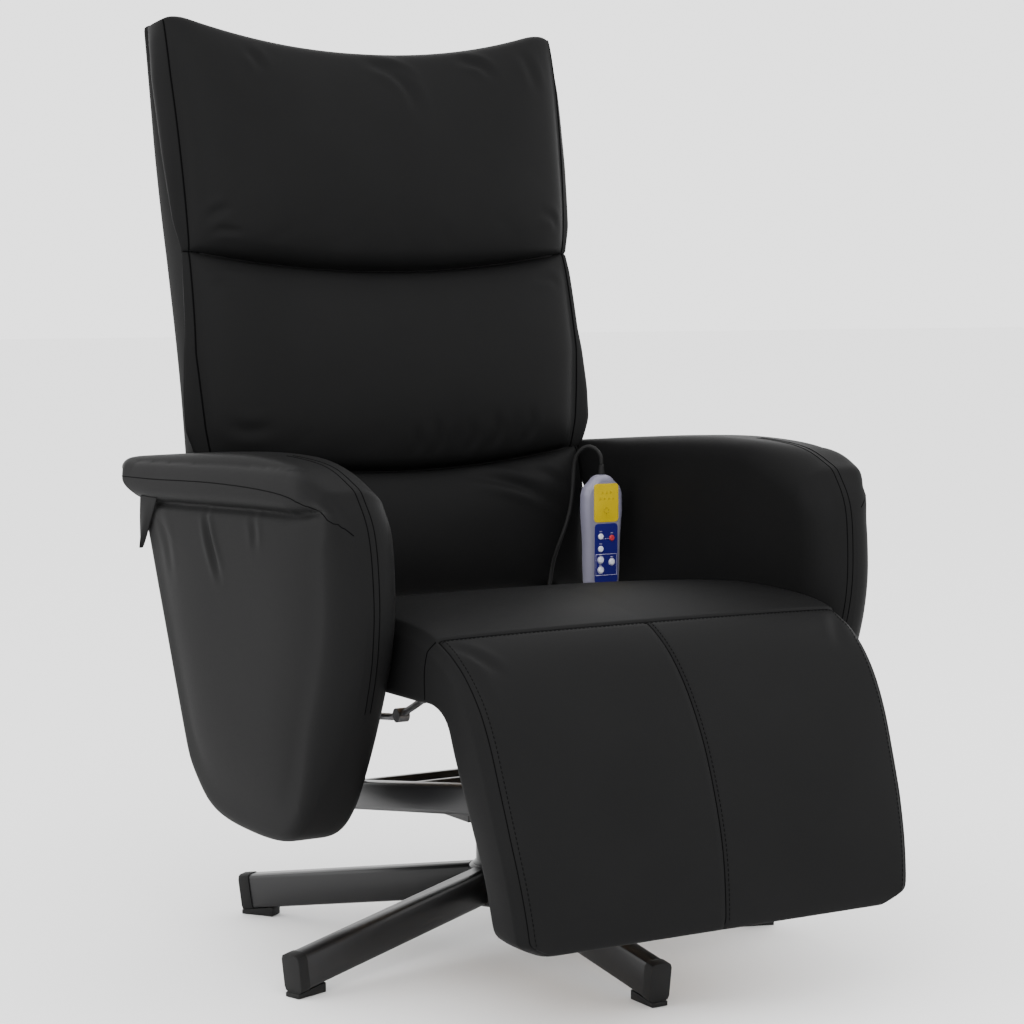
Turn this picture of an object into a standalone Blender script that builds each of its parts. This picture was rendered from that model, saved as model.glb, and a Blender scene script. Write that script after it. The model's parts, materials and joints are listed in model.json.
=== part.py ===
"""Reclining massage chair on a five-star swivel base.

Metres, +Z up. The chair faces -Y and its left side is +X. The origin is on the floor, in the middle of
the chair's length. Shapes are written in the chair frame, whose own origin is on the swivel axis, and an
empty carries that frame to its place.
"""

import math

import bmesh
import bpy
from mathutils import Matrix, Vector

# Driving dimensions
GAP = 0.0003  # between pieces that rest on each other
RUNNING = 0.0004  # radial clearance of a pin in its hole

BASE_R = 0.333
LEG_COUNT = 5
LEG_WIDTH = 0.024
LEG_HEIGHT = 0.041
LEG_WALL = 0.002
LEG_END_TOP = LEG_HEIGHT + 0.0055  # leaves room for the foot pad
CAP_LENGTH = 0.014
PAD_LENGTH = 0.028
HUB_R = 0.034
HUB_TOP = 0.0905
HUB_BOTTOM = 0.044
SPIGOT_R = 0.016
POST_R = 0.026
POST_TOP = 0.150
PIN_R = 0.010
RACE_R = 0.045
RACE_T = 0.006
RACE_SPACE = 0.001

RAIL_X = 0.190
RAIL_W = 0.020
RAIL_H = 0.031
RAIL_WALL = 0.003
RAIL_FRONT = -0.300
RAIL_REAR = 0.170
RAIL_Z = 0.1905
RAIL_TILT = math.radians(8.5)
BAR_SIDE = 0.020
BAR_FRONT_Y = -0.080
BAR_REAR_Y = 0.055
PLATE_T = 0.004
PLATE_X = 0.095

BOARD_T = 0.012
SEAT_BOARD_Z = 0.336
SEAT_BOARD_FRONT = -0.330
SEAT_BOARD_REAR = 0.155
SEAT_X = 0.258
SEAT_BOARD_X = SEAT_X - 0.013
SEAT_REAR = 0.1655
SEAT_CROWN = 0.4245

ARM_IN = SEAT_X + 0.004
ARM_T = 0.080
ARM_ROUND = 0.014

HINGE_Y = 0.205
HINGE_Z = 0.360
HINGE_PIN_R = 0.006
BACK_TILT = math.radians(8.5)
BACK_TOP = 0.717
BACK_X = ARM_IN - 0.0025  # the rear cover, which turns between the arms
BACK_PAD = 0.0325  # behind the hinge line, where the cushions end
BACK_REAR = 0.0665
SHELL_T = 0.004
BACK_BOARD_X = BACK_X - 0.0245
BACK_BOARD_LOW = 0.055
BACK_BOARD_HIGH = BACK_TOP - 0.047
SEAM_LUMBAR = 0.191
SEAM_HEAD = 0.434

RISER_X = RAIL_X + 0.009
RISER_T = 0.004
ARM_PLATE_X = RISER_X + RISER_T + 0.0025
ARM_PLATE_T = 0.005
TAIL = 0.080
TAIL_PIN_R = 0.005
ROD_X = RAIL_X + 0.001
ROD_D = 0.008

FOOT_HINGE_Y = -0.360
FOOT_HINGE_Z = 0.325
FOOT_PIN_R = 0.0042
FOOT_EYE_R = 0.010
FOOT_X = SEAT_X
FOOT_BOARD_T = 0.008
FOOT_REACH = 0.4545
LUG_T = 0.004
BRACKET_X = RAIL_X - 0.010
FOOT_BOARD_X = BRACKET_X - 0.0005
LUG_X = BRACKET_X - LUG_T - 0.0035
EAR_Y = -0.325
EAR_Z = 0.290

MOTOR_R = 0.0218
MOTOR_FRONT = 0.0125
MOTOR_FLANGE_R = MOTOR_R + 0.0062
MOTOR_REAR = 0.020
WEIGHT_R = MOTOR_R - 0.0058
WEIGHT_T = 0.008
SHAFT_R = 0.002

HANDSET_X = 0.219
HANDSET_Y = 0.1105
HANDSET_T = 0.022
HANDSET_LOW = 0.3865
HANDSET_HIGH = HANDSET_LOW + 0.1365
KEY_R = 0.0036
KEY_DEEP = 0.0048
KEY_PROUD = 0.0018
PANEL_T = 0.0012
PANEL_PROUD = 0.0002
BOOT_HIGH = 0.012
CORD_D = 0.0045

BOX_X = (0.030, 0.130)
BOX_Y = (0.020, 0.110)
BOX_LOW = 0.305
SOCKET_X = 0.105
SOCKET_BORE_R = 0.0045
OUTLET_X = 0.050
OUTLET_Z = 0.320
OUTLET_LENGTH = 0.015

# The handset's lead, from its outlet under the seat to the boot on the handset
CORD_POINTS = [
    (0.0500, 0.1256, 0.3200), (0.0500, 0.1360, 0.3195), (0.0540, 0.1480, 0.3170),
    (0.0660, 0.1580, 0.3130), (0.0850, 0.1640, 0.3090), (0.1080, 0.1680, 0.3090),
    (0.1300, 0.1705, 0.3150), (0.1500, 0.1708, 0.3280), (0.1640, 0.1708, 0.3460),
    (0.1720, 0.1708, 0.3660), (0.1755, 0.1708, 0.3860), (0.1770, 0.1690, 0.4020),
    (0.1770, 0.1640, 0.4160), (0.1780, 0.1580, 0.4300), (0.1820, 0.1535, 0.4460),
    (0.1880, 0.1515, 0.4640), (0.1935, 0.1515, 0.4840), (0.1965, 0.1520, 0.5050),
    (0.1975, 0.1515, 0.5250), (0.1985, 0.1490, 0.5410), (0.2025, 0.1430, 0.5525),
    (0.2095, 0.1355, 0.5570), (0.2160, 0.1285, 0.5530), (0.2187, 0.1230, 0.5455),
    (0.2190, 0.1215, 0.5356),
]

# Values that follow from them
BACK_REACH = HINGE_Y + BACK_TOP * math.sin(BACK_TILT) + BACK_REAR * math.cos(BACK_TILT)
AXIS_Y = (FOOT_REACH - BACK_REACH) / 2
LEG_SLOPE = math.atan2(HUB_TOP - 0.002 - LEG_END_TOP, BASE_R - HUB_R)
RACE_LOW = POST_TOP + GAP
RACE_HIGH = RACE_LOW + RACE_T + RACE_SPACE
PLATE_Z = RACE_HIGH + RACE_T + GAP
BOARD_TOP = SEAT_BOARD_Z + BOARD_T
BOARD_UNDER = SEAT_BOARD_Z - GAP

# Local X to Y, Y to Z and Z to X: for outlines drawn in the side view
SIDE = Matrix(((0, 0, 1, 0), (1, 0, 0, 0), (0, 1, 0, 0), (0, 0, 0, 1)))
# Local X to X, Y to Z and Z to -Y: for outlines drawn in the front view
FRONT = Matrix(((1, 0, 0, 0), (0, 0, -1, 0), (0, 1, 0, 0), (0, 0, 0, 1)))
# Local Y to the rear of the backrest and Z up along it
BACK = Matrix.Translation((0, HINGE_Y, HINGE_Z)) @ Matrix.Rotation(-BACK_TILT, 4, "X")


# Scene and materials

def clear_scene():
    for obj in list(bpy.data.objects):
        bpy.data.objects.remove(obj, do_unlink=True)


def new_collection(name, hidden):
    collection = bpy.data.collections.new(name)
    bpy.context.scene.collection.children.link(collection)
    collection.hide_render = hidden
    return collection


def finish(name, colour, roughness, metallic=0.0):
    material = bpy.data.materials.new(name)
    material.use_nodes = True
    shader = material.node_tree.nodes["Principled BSDF"]
    shader.inputs["Base Color"].default_value = (*colour, 1.0)
    shader.inputs["Roughness"].default_value = roughness
    shader.inputs["Metallic"].default_value = metallic
    return material


clear_scene()
PARTS = new_collection("massage_chair", False)
CUTTERS = new_collection("cutters", True)
CHAIR = bpy.data.objects.new("chair_frame", None)
CHAIR.location = (0, AXIS_Y, 0)
PARTS.objects.link(CHAIR)

FINISHES = {
    "leather": ((0.022, 0.022, 0.023), 0.45),
    "powder_coat": ((0.018, 0.018, 0.019), 0.38, 0.3),
    "black_plastic": ((0.020, 0.020, 0.021), 0.5),
    "rubber": ((0.015, 0.015, 0.015), 0.8),
    "steel": ((0.55, 0.55, 0.56), 0.35, 1.0),
    "plywood": ((0.45, 0.32, 0.19), 0.7),
    "handset_shell": ((0.23, 0.23, 0.36), 0.4),
    "display": ((0.80, 0.62, 0.02), 0.3),
    "keypad": ((0.04, 0.05, 0.25), 0.35),
    "white_key": ((0.75, 0.76, 0.80), 0.35),
    "red_key": ((0.55, 0.05, 0.06), 0.35),
}
MATERIALS = {name: finish(name, *values) for name, values in FINISHES.items()}


def pivot(name, x, y, z):
    """An empty on a joint's axis. The body's pieces hang from it."""
    empty = bpy.data.objects.new(name, None)
    empty.location = (x, y, z)
    empty.parent = CHAIR
    PARTS.objects.link(empty)
    return empty


SEAT = pivot("seat_pivot", 0, 0, PLATE_Z)
BACKREST = pivot("backrest_pivot", 0, HINGE_Y, HINGE_Z)
FOOTREST = pivot("footrest_pivot", 0, FOOT_HINGE_Y, FOOT_HINGE_Z)
RODS = pivot("rod_pivot", 0, HINGE_Y, HINGE_Z - TAIL)


# Modelling helpers

def place(obj, parent, matrix=None):
    """Hang an object from a pivot, with its matrix in the chair frame."""
    obj.parent = parent
    if parent is not CHAIR:
        obj.matrix_parent_inverse = Matrix.Translation(-parent.location)
    if matrix is not None:
        obj.matrix_basis = matrix
    return obj


def part(name, mesh, slot, parent, matrix=None):
    obj = bpy.data.objects.new(name, mesh)
    PARTS.objects.link(obj)
    mesh.materials.clear()
    mesh.materials.append(MATERIALS[slot])
    return place(obj, parent, matrix)


def cutter(name, mesh, matrix=None):
    obj = bpy.data.objects.new(name, mesh)
    CUTTERS.objects.link(obj)
    obj.hide_render = True
    obj.display_type = "WIRE"
    return place(obj, CHAIR, matrix)


def box_mesh(low, high):
    low, high = Vector(low), Vector(high)
    size = Matrix.Diagonal((*(high - low), 1))
    bm = bmesh.new()
    bmesh.ops.create_cube(bm, size=1, matrix=Matrix.Translation((low + high) / 2) @ size)
    return to_mesh(bm)


def rod_mesh(radius, low, high, sides=20):
    """A cylinder along Z."""
    bm = bmesh.new()
    bmesh.ops.create_cone(
        bm, cap_ends=True, segments=sides, radius1=radius, radius2=radius, depth=high - low,
        matrix=Matrix.Translation((0, 0, (low + high) / 2)),
    )
    return to_mesh(bm)


def to_mesh(bm):
    mesh = bpy.data.meshes.new("shape")
    bm.to_mesh(mesh)
    bm.free()
    return mesh


def curve_mesh(curve):
    """The closed mesh of a curve, with its caps welded on."""
    guide = bpy.data.objects.new("guide", curve)
    CUTTERS.objects.link(guide)
    graph = bpy.context.evaluated_depsgraph_get()
    mesh = bpy.data.meshes.new_from_object(guide.evaluated_get(graph))
    bpy.data.objects.remove(guide, do_unlink=True)
    bm = bmesh.new()
    bm.from_mesh(mesh)
    bmesh.ops.remove_doubles(bm, verts=bm.verts, dist=1e-6)
    bmesh.ops.recalc_face_normals(bm, faces=bm.faces)
    bm.to_mesh(mesh)
    bm.free()
    return mesh


def flat_mesh(outlines, low, high):
    """Closed outlines, the outer one and its holes, drawn in XY and raised from low to high."""
    curve = bpy.data.curves.new("outline", "CURVE")
    curve.dimensions = "2D"
    curve.fill_mode = "BOTH"
    curve.extrude = (high - low) / 2
    for points in outlines:
        spline = curve.splines.new("POLY")
        spline.points.add(len(points) - 1)
        spline.use_cyclic_u = True
        for point, (u, v) in zip(spline.points, points):
            point.co = (u, v, 0, 1)
    mesh = curve_mesh(curve)
    mesh.transform(Matrix.Translation((0, 0, (low + high) / 2)))
    return mesh


def tube_mesh(points, diameter, rounds=2):
    """A wire along the points."""
    curve = bpy.data.curves.new("wire", "CURVE")
    curve.dimensions = "3D"
    curve.bevel_depth = diameter / 2
    curve.bevel_resolution = rounds
    curve.use_fill_caps = True
    spline = curve.splines.new("POLY")
    spline.points.add(len(points) - 1)
    for point, place_at in zip(spline.points, points):
        point.co = (*place_at, 1)
    return curve_mesh(curve)


def turned(name, profile, slot, parent, matrix=None, ring=False, steps=24):
    """A profile of (radius, height) turned about Z. It runs down its outer side."""
    mesh = bpy.data.meshes.new("profile")
    ends = list(range(len(profile)))
    edges = list(zip(ends, ends[1:]))
    if ring:
        edges.append((ends[-1], 0))
    mesh.from_pydata([(r, 0, z) for r, z in profile], edges, [])
    obj = part(name, mesh, slot, parent, matrix)
    screw = obj.modifiers.new("turn", "SCREW")
    screw.steps = screw.render_steps = steps
    screw.use_merge_vertices = True
    screw.merge_threshold = 0.0001
    return obj


def bevel(obj, width, segments=2, angle=40):
    modifier = obj.modifiers.new("edges", "BEVEL")
    modifier.width = width
    modifier.segments = segments
    modifier.limit_method = "ANGLE"
    modifier.angle_limit = math.radians(angle)
    return obj


def combine(obj, other, operation="DIFFERENCE"):
    modifier = obj.modifiers.new("with " + other.name, "BOOLEAN")
    modifier.operation = operation
    modifier.object = other
    return obj


def circle(radius, centre=(0, 0), start=0, end=360, steps=16):
    """Points of an arc in degrees, or of a whole circle."""
    whole = end - start == 360
    count = steps if whole else steps + 1
    angles = [math.radians(start + (end - start) * i / steps) for i in range(count)]
    return [(centre[0] + radius * math.cos(a), centre[1] + radius * math.sin(a)) for a in angles]


def rounded_rect(width, height, radius, steps=2):
    corners = [(1, 1, 0), (-1, 1, 90), (-1, -1, 180), (1, -1, 270)]
    points = []
    for sx, sy, start in corners:
        centre = (sx * (width / 2 - radius), sy * (height / 2 - radius))
        points += circle(radius, centre, start, start + 90, steps)
    return points


def through(points, steps=3, closed=False):
    """A smooth curve through the points, as a Catmull-Rom spline."""
    count = len(points)
    found = []
    for i in range(count if closed else count - 1):
        wanted = [i - 1, i, i + 1, i + 2]
        if closed:
            a, b, c, d = (Vector(points[k % count]) for k in wanted)
        else:
            a, b, c, d = (Vector(points[min(max(k, 0), count - 1)]) for k in wanted)
        for step in range(steps):
            t = step / steps
            found.append(tuple(
                (2 * b + (c - a) * t + (2 * a - 5 * b + 4 * c - d) * t**2
                 + (3 * b - a - 3 * c + d) * t**3) / 2
            ))
    if not closed:
        found.append(tuple(points[-1]))
    return found


def offset_line(points, distance):
    """An open line moved to its right side by a distance."""
    moved = []
    for i, point in enumerate(points):
        before, after = Vector(points[max(i - 1, 0)]), Vector(points[min(i + 1, len(points) - 1)])
        along = (after - before).normalized()
        moved.append((point[0] + along.y * distance, point[1] - along.x * distance))
    return moved


def sides():
    """The two sides of the chair, as a name and the sign of X."""
    return (("left", 1), ("right", -1))


def span(sign, x, thickness):
    """Low and high X of a plate that starts at x from the middle, on one side."""
    return (x, x + thickness) if sign > 0 else (-x - thickness, -x)


# The base

def leg_axis_z(radius):
    """Height of a leg's centre line at a distance from the swivel axis."""
    top = HUB_TOP - 0.002 + HUB_R * math.tan(LEG_SLOPE)
    return top - LEG_HEIGHT / 2 / math.cos(LEG_SLOPE) - radius * math.tan(LEG_SLOPE)


def leg_under(radius):
    return leg_axis_z(radius) - LEG_HEIGHT / 2 / math.cos(LEG_SLOPE)


def make_base():
    turned("base_hub", [
        (HUB_R - 0.003, HUB_TOP), (HUB_R, HUB_TOP - 0.003), (HUB_R, HUB_BOTTOM + 0.003),
        (HUB_R - 0.003, HUB_BOTTOM), (SPIGOT_R + GAP, HUB_BOTTOM), (SPIGOT_R + GAP, HUB_TOP),
    ], "powder_coat", CHAIR, ring=True, steps=32)
    hub_space = cutter("hub_space", rod_mesh(HUB_R + GAP, 0, 0.2, 64))
    leg_end = (BASE_R - CAP_LENGTH) / math.cos(LEG_SLOPE)
    outer = rounded_rect(LEG_WIDTH, LEG_HEIGHT, 0.005)
    inner = rounded_rect(LEG_WIDTH - 2 * LEG_WALL, LEG_HEIGHT - 2 * LEG_WALL, 0.003)
    plug = rounded_rect(LEG_WIDTH - 2 * LEG_WALL - 2 * GAP, LEG_HEIGHT - 2 * LEG_WALL - 2 * GAP, 0.0028)
    cover = rounded_rect(LEG_WIDTH + 0.002, LEG_HEIGHT + 0.002, 0.006)
    for i in range(LEG_COUNT):
        turn = Matrix.Rotation(-math.pi / 2 + 2 * math.pi * i / LEG_COUNT, 4, "Z")
        along = turn @ Matrix.Translation((0, 0, leg_axis_z(0))) @ Matrix.Rotation(LEG_SLOPE, 4, "Y") @ SIDE
        tube = flat_mesh([outer, inner], 0.020, leg_end)
        leg = part(f"base_leg_{i + 1}", tube, "powder_coat", CHAIR, along)
        combine(leg, hub_space)
        make_leg_cap(i, turn, along, leg_end, plug, cover)


def make_leg_cap(i, turn, along, leg_end, plug, cover):
    """An end cap with a plug inside the leg and a foot pad under it."""
    cap_end = BASE_R / math.cos(LEG_SLOPE)
    cap = part(f"leg_cap_{i + 1}", flat_mesh([cover], leg_end + GAP, cap_end), "rubber", CHAIR, along)
    plug_mesh = flat_mesh([plug], leg_end - 0.020, leg_end + 0.002)
    combine(cap, cutter(f"cap_plug_{i + 1}", plug_mesh, along), "UNION")
    near, far = BASE_R - CAP_LENGTH - PAD_LENGTH, BASE_R - 0.001
    pad = box_mesh((near, -0.010, 0), (far, 0.010, 1))
    for vertex in pad.vertices:
        if vertex.co.z > 0.5:
            vertex.co.z = leg_under(vertex.co.x) - GAP
    combine(cap, cutter(f"cap_pad_{i + 1}", pad, turn), "UNION")


def make_swivel():
    turned("swivel_post", [
        (0, PLATE_Z + PLATE_T + 0.0025), (PIN_R, PLATE_Z + PLATE_T + 0.0025), (PIN_R, POST_TOP),
        (POST_R, POST_TOP), (POST_R, HUB_TOP + 0.004), (HUB_R - 0.004, HUB_TOP + GAP),
        (SPIGOT_R, HUB_TOP + GAP), (SPIGOT_R, HUB_BOTTOM + 0.006), (0, HUB_BOTTOM + 0.006),
    ], "powder_coat", CHAIR, steps=32)
    for name, low, parent in (("bearing_lower", RACE_LOW, CHAIR), ("bearing_upper", RACE_HIGH, SEAT)):
        high = low + RACE_T
        turned(name, [
            (RACE_R - 0.001, high), (RACE_R, high - 0.001), (RACE_R, low + 0.001), (RACE_R - 0.001, low),
            (PIN_R + RUNNING, low), (PIN_R + RUNNING, high),
        ], "steel", parent, ring=True, steps=32)


# The mechanism under the seat

def rail_z(y):
    """Height of the rails' centre line. They rise to the front."""
    return RAIL_Z - y * math.tan(RAIL_TILT)


def rail_top(y):
    return rail_z(y) + RAIL_H / 2 / math.cos(RAIL_TILT)


def on_rail(y):
    """A frame on the rails' centre line, leaning with them."""
    return Matrix.Translation((0, y, rail_z(y))) @ Matrix.Rotation(-RAIL_TILT, 4, "X")


def make_mechanism():
    flange_front, flange_rear = -0.095, 0.075
    plate = part(
        "swivel_plate",
        box_mesh((-PLATE_X, flange_front, PLATE_Z), (PLATE_X, flange_rear, PLATE_Z + PLATE_T)),
        "powder_coat", SEAT,
    )
    below_bar = BAR_SIDE / 2 / math.cos(RAIL_TILT) + GAP
    flange = [
        (flange_front, PLATE_Z + 0.001), (flange_rear, PLATE_Z + 0.001),
        (flange_rear, rail_z(flange_rear) - below_bar), (flange_front, rail_z(flange_front) - below_bar),
    ]
    for side, sign in sides():
        low, high = span(sign, PLATE_X - PLATE_T, PLATE_T)
        combine(plate, cutter(f"plate_flange_{side}", flat_mesh([flange], low, high), SIDE), "UNION")
    combine(plate, cutter("plate_bore", rod_mesh(PIN_R + RUNNING, PLATE_Z - 0.01, PLATE_Z + 0.01, 32)))

    for name, y in (("cross_bar_front", BAR_FRONT_Y), ("cross_bar_rear", BAR_REAR_Y)):
        reach, half = RAIL_X - GAP, BAR_SIDE / 2
        bar_mesh = box_mesh((-reach, -half, -half), (reach, half, half))
        bar = part(name, bar_mesh, "powder_coat", SEAT, on_rail(y))
        bevel(bar, 0.002)

    middle = (RAIL_FRONT + RAIL_REAR) / 2
    half_length = (RAIL_REAR - RAIL_FRONT) / 2 / math.cos(RAIL_TILT)
    for side, sign in sides():
        part(f"rail_{side}", flat_mesh([rail_outline(sign)], -half_length, half_length),
             "powder_coat", SEAT, on_rail(middle) @ FRONT)
        make_riser(side, sign)
        make_lug(side, sign)


def rail_outline(sign):
    """A channel, open to the inside, with its two outer corners rounded."""
    half, round_r = RAIL_H / 2, 0.005
    outer = RAIL_X + RAIL_W
    points = [(RAIL_X, half)]
    points += circle(round_r, (outer - round_r, half - round_r), 90, 0, 3)
    points += circle(round_r, (outer - round_r, round_r - half), 0, -90, 3)
    points += [
        (RAIL_X, -half), (RAIL_X, RAIL_WALL - half), (outer - RAIL_WALL, RAIL_WALL - half),
        (outer - RAIL_WALL, half - RAIL_WALL), (RAIL_X, half - RAIL_WALL),
    ]
    return [(sign * x, y) for x, y in points]


def make_riser(side, sign):
    """A side plate from the rail to the seat board, with the backrest's hinge pin at its rear."""
    hinge = (HINGE_Y, HINGE_Z)
    front, rear = -0.050, 0.110
    outline = [(front, rail_top(front) + GAP), (rear, rail_top(rear) + GAP)]
    outline += [(rear + 0.022, SEAT_BOARD_Z - 0.045), (rear + 0.038, SEAT_BOARD_Z - 0.020)]
    outline += [(HINGE_Y - 0.018, SEAT_BOARD_Z)]
    outline += circle(0.017, hinge, -70, 160, 8)
    outline += [(SEAT_BOARD_REAR + 0.006, BOARD_UNDER), (-0.085, BOARD_UNDER), (-0.060, SEAT_BOARD_Z - 0.060)]
    plate = flat_mesh([outline], *span(sign, RISER_X, RISER_T))
    riser = part(f"riser_{side}", plate, "powder_coat", SEAT, SIDE)
    low, high = span(sign, RISER_X + 0.001, ARM_PLATE_X + ARM_PLATE_T + 0.002 - RISER_X)
    pin_at = Matrix.Translation((0, *hinge)) @ SIDE
    pin = cutter(f"hinge_pin_{side}", rod_mesh(HINGE_PIN_R, low, high), pin_at)
    combine(riser, pin, "UNION")


def make_lug(side, sign):
    """A lug under the seat board's front edge, with the footrest's hinge pin."""
    hinge = (FOOT_HINGE_Y, FOOT_HINGE_Z)
    outline = circle(FOOT_EYE_R, hinge, 90, 290, 8)
    outline += [(SEAT_BOARD_FRONT + 0.030, BOARD_UNDER - 0.006), (SEAT_BOARD_FRONT + 0.060, BOARD_UNDER),
                (SEAT_BOARD_FRONT, BOARD_UNDER)]
    plate = flat_mesh([outline], *span(sign, LUG_X, LUG_T))
    lug = part(f"footrest_lug_{side}", plate, "powder_coat", SEAT, SIDE)
    low, high = span(sign, LUG_X + 0.001, BRACKET_X + LUG_T - LUG_X)
    pin_at = Matrix.Translation((0, *hinge)) @ SIDE
    pin = cutter(f"footrest_pin_{side}", rod_mesh(FOOT_PIN_R, low, high), pin_at)
    combine(lug, pin, "UNION")


# Massage motors

def make_motor(name, parent, matrix, board, cushion):
    """A motor in a hole of its board. Its front, at local +Z, is in a pocket of the cushion."""
    turned(name, [
        (0, MOTOR_FRONT), (MOTOR_R - 0.003, MOTOR_FRONT), (MOTOR_R, MOTOR_FRONT - 0.003), (MOTOR_R, 0.0025),
        (MOTOR_FLANGE_R, 0.0025), (MOTOR_FLANGE_R, GAP), (MOTOR_R, GAP), (MOTOR_R, -MOTOR_REAR),
        (MOTOR_R - 0.0035, -MOTOR_REAR), (MOTOR_R - 0.0035, -0.008), (SHAFT_R, -0.008),
        (SHAFT_R, 0.001 - MOTOR_REAR), (0, 0.001 - MOTOR_REAR),
    ], "black_plastic", parent, matrix)
    outline = circle(WEIGHT_R, (0, 0), -80, 80, 10) + circle(0.005, (0, 0), 100, 260, 6)
    bore = circle(SHAFT_R + RUNNING, steps=12)
    spin = pivot(name + "_spin", *(matrix @ Vector((0, 0, 0))))
    spin.parent = parent
    spin.matrix_parent_inverse = Matrix.Translation(-parent.location)
    middle = -(0.008 + MOTOR_REAR) / 2 - 0.0005
    shape = flat_mesh([outline, bore], middle - WEIGHT_T / 2, middle + WEIGHT_T / 2)
    weight = bpy.data.objects.new(name + "_weight", shape)
    PARTS.objects.link(weight)
    weight.data.materials.append(MATERIALS["steel"])
    weight.parent = spin
    weight.matrix_parent_inverse = Matrix.Translation(-spin.location)
    weight.matrix_basis = matrix
    combine(board, cutter(name + "_hole", rod_mesh(MOTOR_R + 0.0007, -0.03, 0.01, 24), matrix))
    pocket = rod_mesh(MOTOR_FLANGE_R + 0.001, -0.03, MOTOR_FRONT + 0.001, 24)
    combine(cushion, cutter(name + "_pocket", pocket, matrix))


# The seat

def make_seat():
    board = part(
        "seat_board",
        box_mesh((-SEAT_BOARD_X, SEAT_BOARD_FRONT, SEAT_BOARD_Z), (SEAT_BOARD_X, SEAT_BOARD_REAR, BOARD_TOP)),
        "plywood", SEAT,
    )
    section = through([
        (SEAT_REAR - 0.006, 0.3410), (SEAT_REAR, 0.3550), (SEAT_REAR - 0.008, 0.3700),
        (0.120, 0.3805), (0.060, 0.394), (-0.030, 0.415), (-0.130, SEAT_CROWN),
        (-0.220, SEAT_CROWN - 0.004), (-0.290, 0.407), (-0.340, 0.379),
        (-0.372, 0.349), (-0.362, 0.3375), (-0.320, 0.3365), (-0.160, 0.338), (0.130, 0.338),
    ], closed=True)
    cushion = part("seat_cushion", flat_mesh([section], -SEAT_X, SEAT_X), "leather", SEAT, SIDE)
    bevel(cushion, 0.012)
    reach = SEAT_X + 0.042
    room = box_mesh((-reach, SEAT_BOARD_FRONT - GAP, 0.30), (reach, 0.25, BOARD_TOP + GAP))
    combine(cushion, cutter("seat_board_room", room))
    make_motor("seat_motor", SEAT, Matrix.Translation((0, -0.06, BOARD_TOP)), board, cushion)


def make_arms():
    section = through([
        (0.298, 0.540), (0.291, 0.553), (0.210, 0.560), (0.070, 0.571), (-0.060, 0.576), (-0.170, 0.570),
        (-0.232, 0.549), (-0.258, 0.510), (-0.266, 0.450), (-0.263, 0.400), (-0.248, 0.345),
        (-0.215, 0.270), (-0.180, 0.208), (-0.130, 0.180), (-0.040, 0.175), (0.055, 0.183),
        (0.110, 0.222), (0.145, 0.300), (0.193, 0.410), (0.233, 0.497), (0.262, 0.5165), (0.287, 0.5265),
    ], steps=2, closed=True)
    for side, sign in sides():
        arm = part(f"arm_{side}", flat_mesh([section], *span(sign, ARM_IN, ARM_T)), "leather", SEAT, SIDE)
        bevel(arm, ARM_ROUND, 3, 50)


def make_control_box():
    """The control box under the seat board, with the adapter's socket and the lead's outlet behind."""
    box = box_mesh((BOX_X[0], BOX_Y[0], BOX_LOW), (BOX_X[1], BOX_Y[1], BOARD_UNDER))
    bevel(part("control_box", box, "black_plastic", SEAT), 0.003)
    to_rear = Matrix.Rotation(-math.pi / 2, 4, "X")
    socket_at = Matrix.Translation((SOCKET_X, BOX_Y[1] + GAP, OUTLET_Z)) @ to_rear
    turned("power_socket", [
        (0.0062, 0.007), (0.0070, 0.006), (0.0070, 0), (SOCKET_BORE_R, 0), (SOCKET_BORE_R, 0.007),
    ], "black_plastic", SEAT, socket_at, ring=True)
    outlet_at = Matrix.Translation((OUTLET_X, BOX_Y[1] + GAP, OUTLET_Z)) @ to_rear
    turned("cord_outlet", [
        (0, OUTLET_LENGTH), (0.0030, OUTLET_LENGTH), (0.0036, OUTLET_LENGTH - 0.001), (0.0052, 0.002),
        (0.0065, 0.002), (0.0065, 0), (0, 0),
    ], "rubber", SEAT, outlet_at, steps=16)


# The backrest

def back_box(low_z, high_z, front, rear, half):
    return box_mesh((-half, -front, low_z), (half, rear, high_z))


def make_backrest():
    board = part("back_board", box_mesh(
        (-BACK_BOARD_X, BACK_PAD + 0.0005, BACK_BOARD_LOW),
        (BACK_BOARD_X, BACK_PAD + 0.0005 + BOARD_T, BACK_BOARD_HIGH),
    ), "plywood", BACKREST, BACK)

    cushions = {}
    for name, low, high, front, half in (
        ("lumbar_cushion", 0.035, SEAM_LUMBAR, 0.035, BACK_X - 0.0075),
        ("middle_cushion", SEAM_LUMBAR + 0.002, SEAM_HEAD, 0.040, BACK_X - 0.0015),
        ("head_cushion", SEAM_HEAD + 0.002, BACK_TOP, 0.055, BACK_X + 0.0045),
    ):
        pad = part(name, back_box(low, high, front, BACK_PAD, half), "leather", BACKREST, BACK)
        cushions[name] = bevel(pad, 0.018, 3)

    to_sitter = Matrix.Rotation(math.pi / 2, 4, "X")
    for name, height, cushion in (
        ("lumbar_motor", 0.115, "lumbar_cushion"), ("upper_motor", 0.330, "middle_cushion"),
    ):
        at = BACK @ Matrix.Translation((0, BACK_PAD + 0.0005, height)) @ to_sitter
        make_motor(name, BACKREST, at, board, cushions[cushion])

    make_back_shell()
    for side, sign in sides():
        make_hinge_arm(side, sign)


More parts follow.
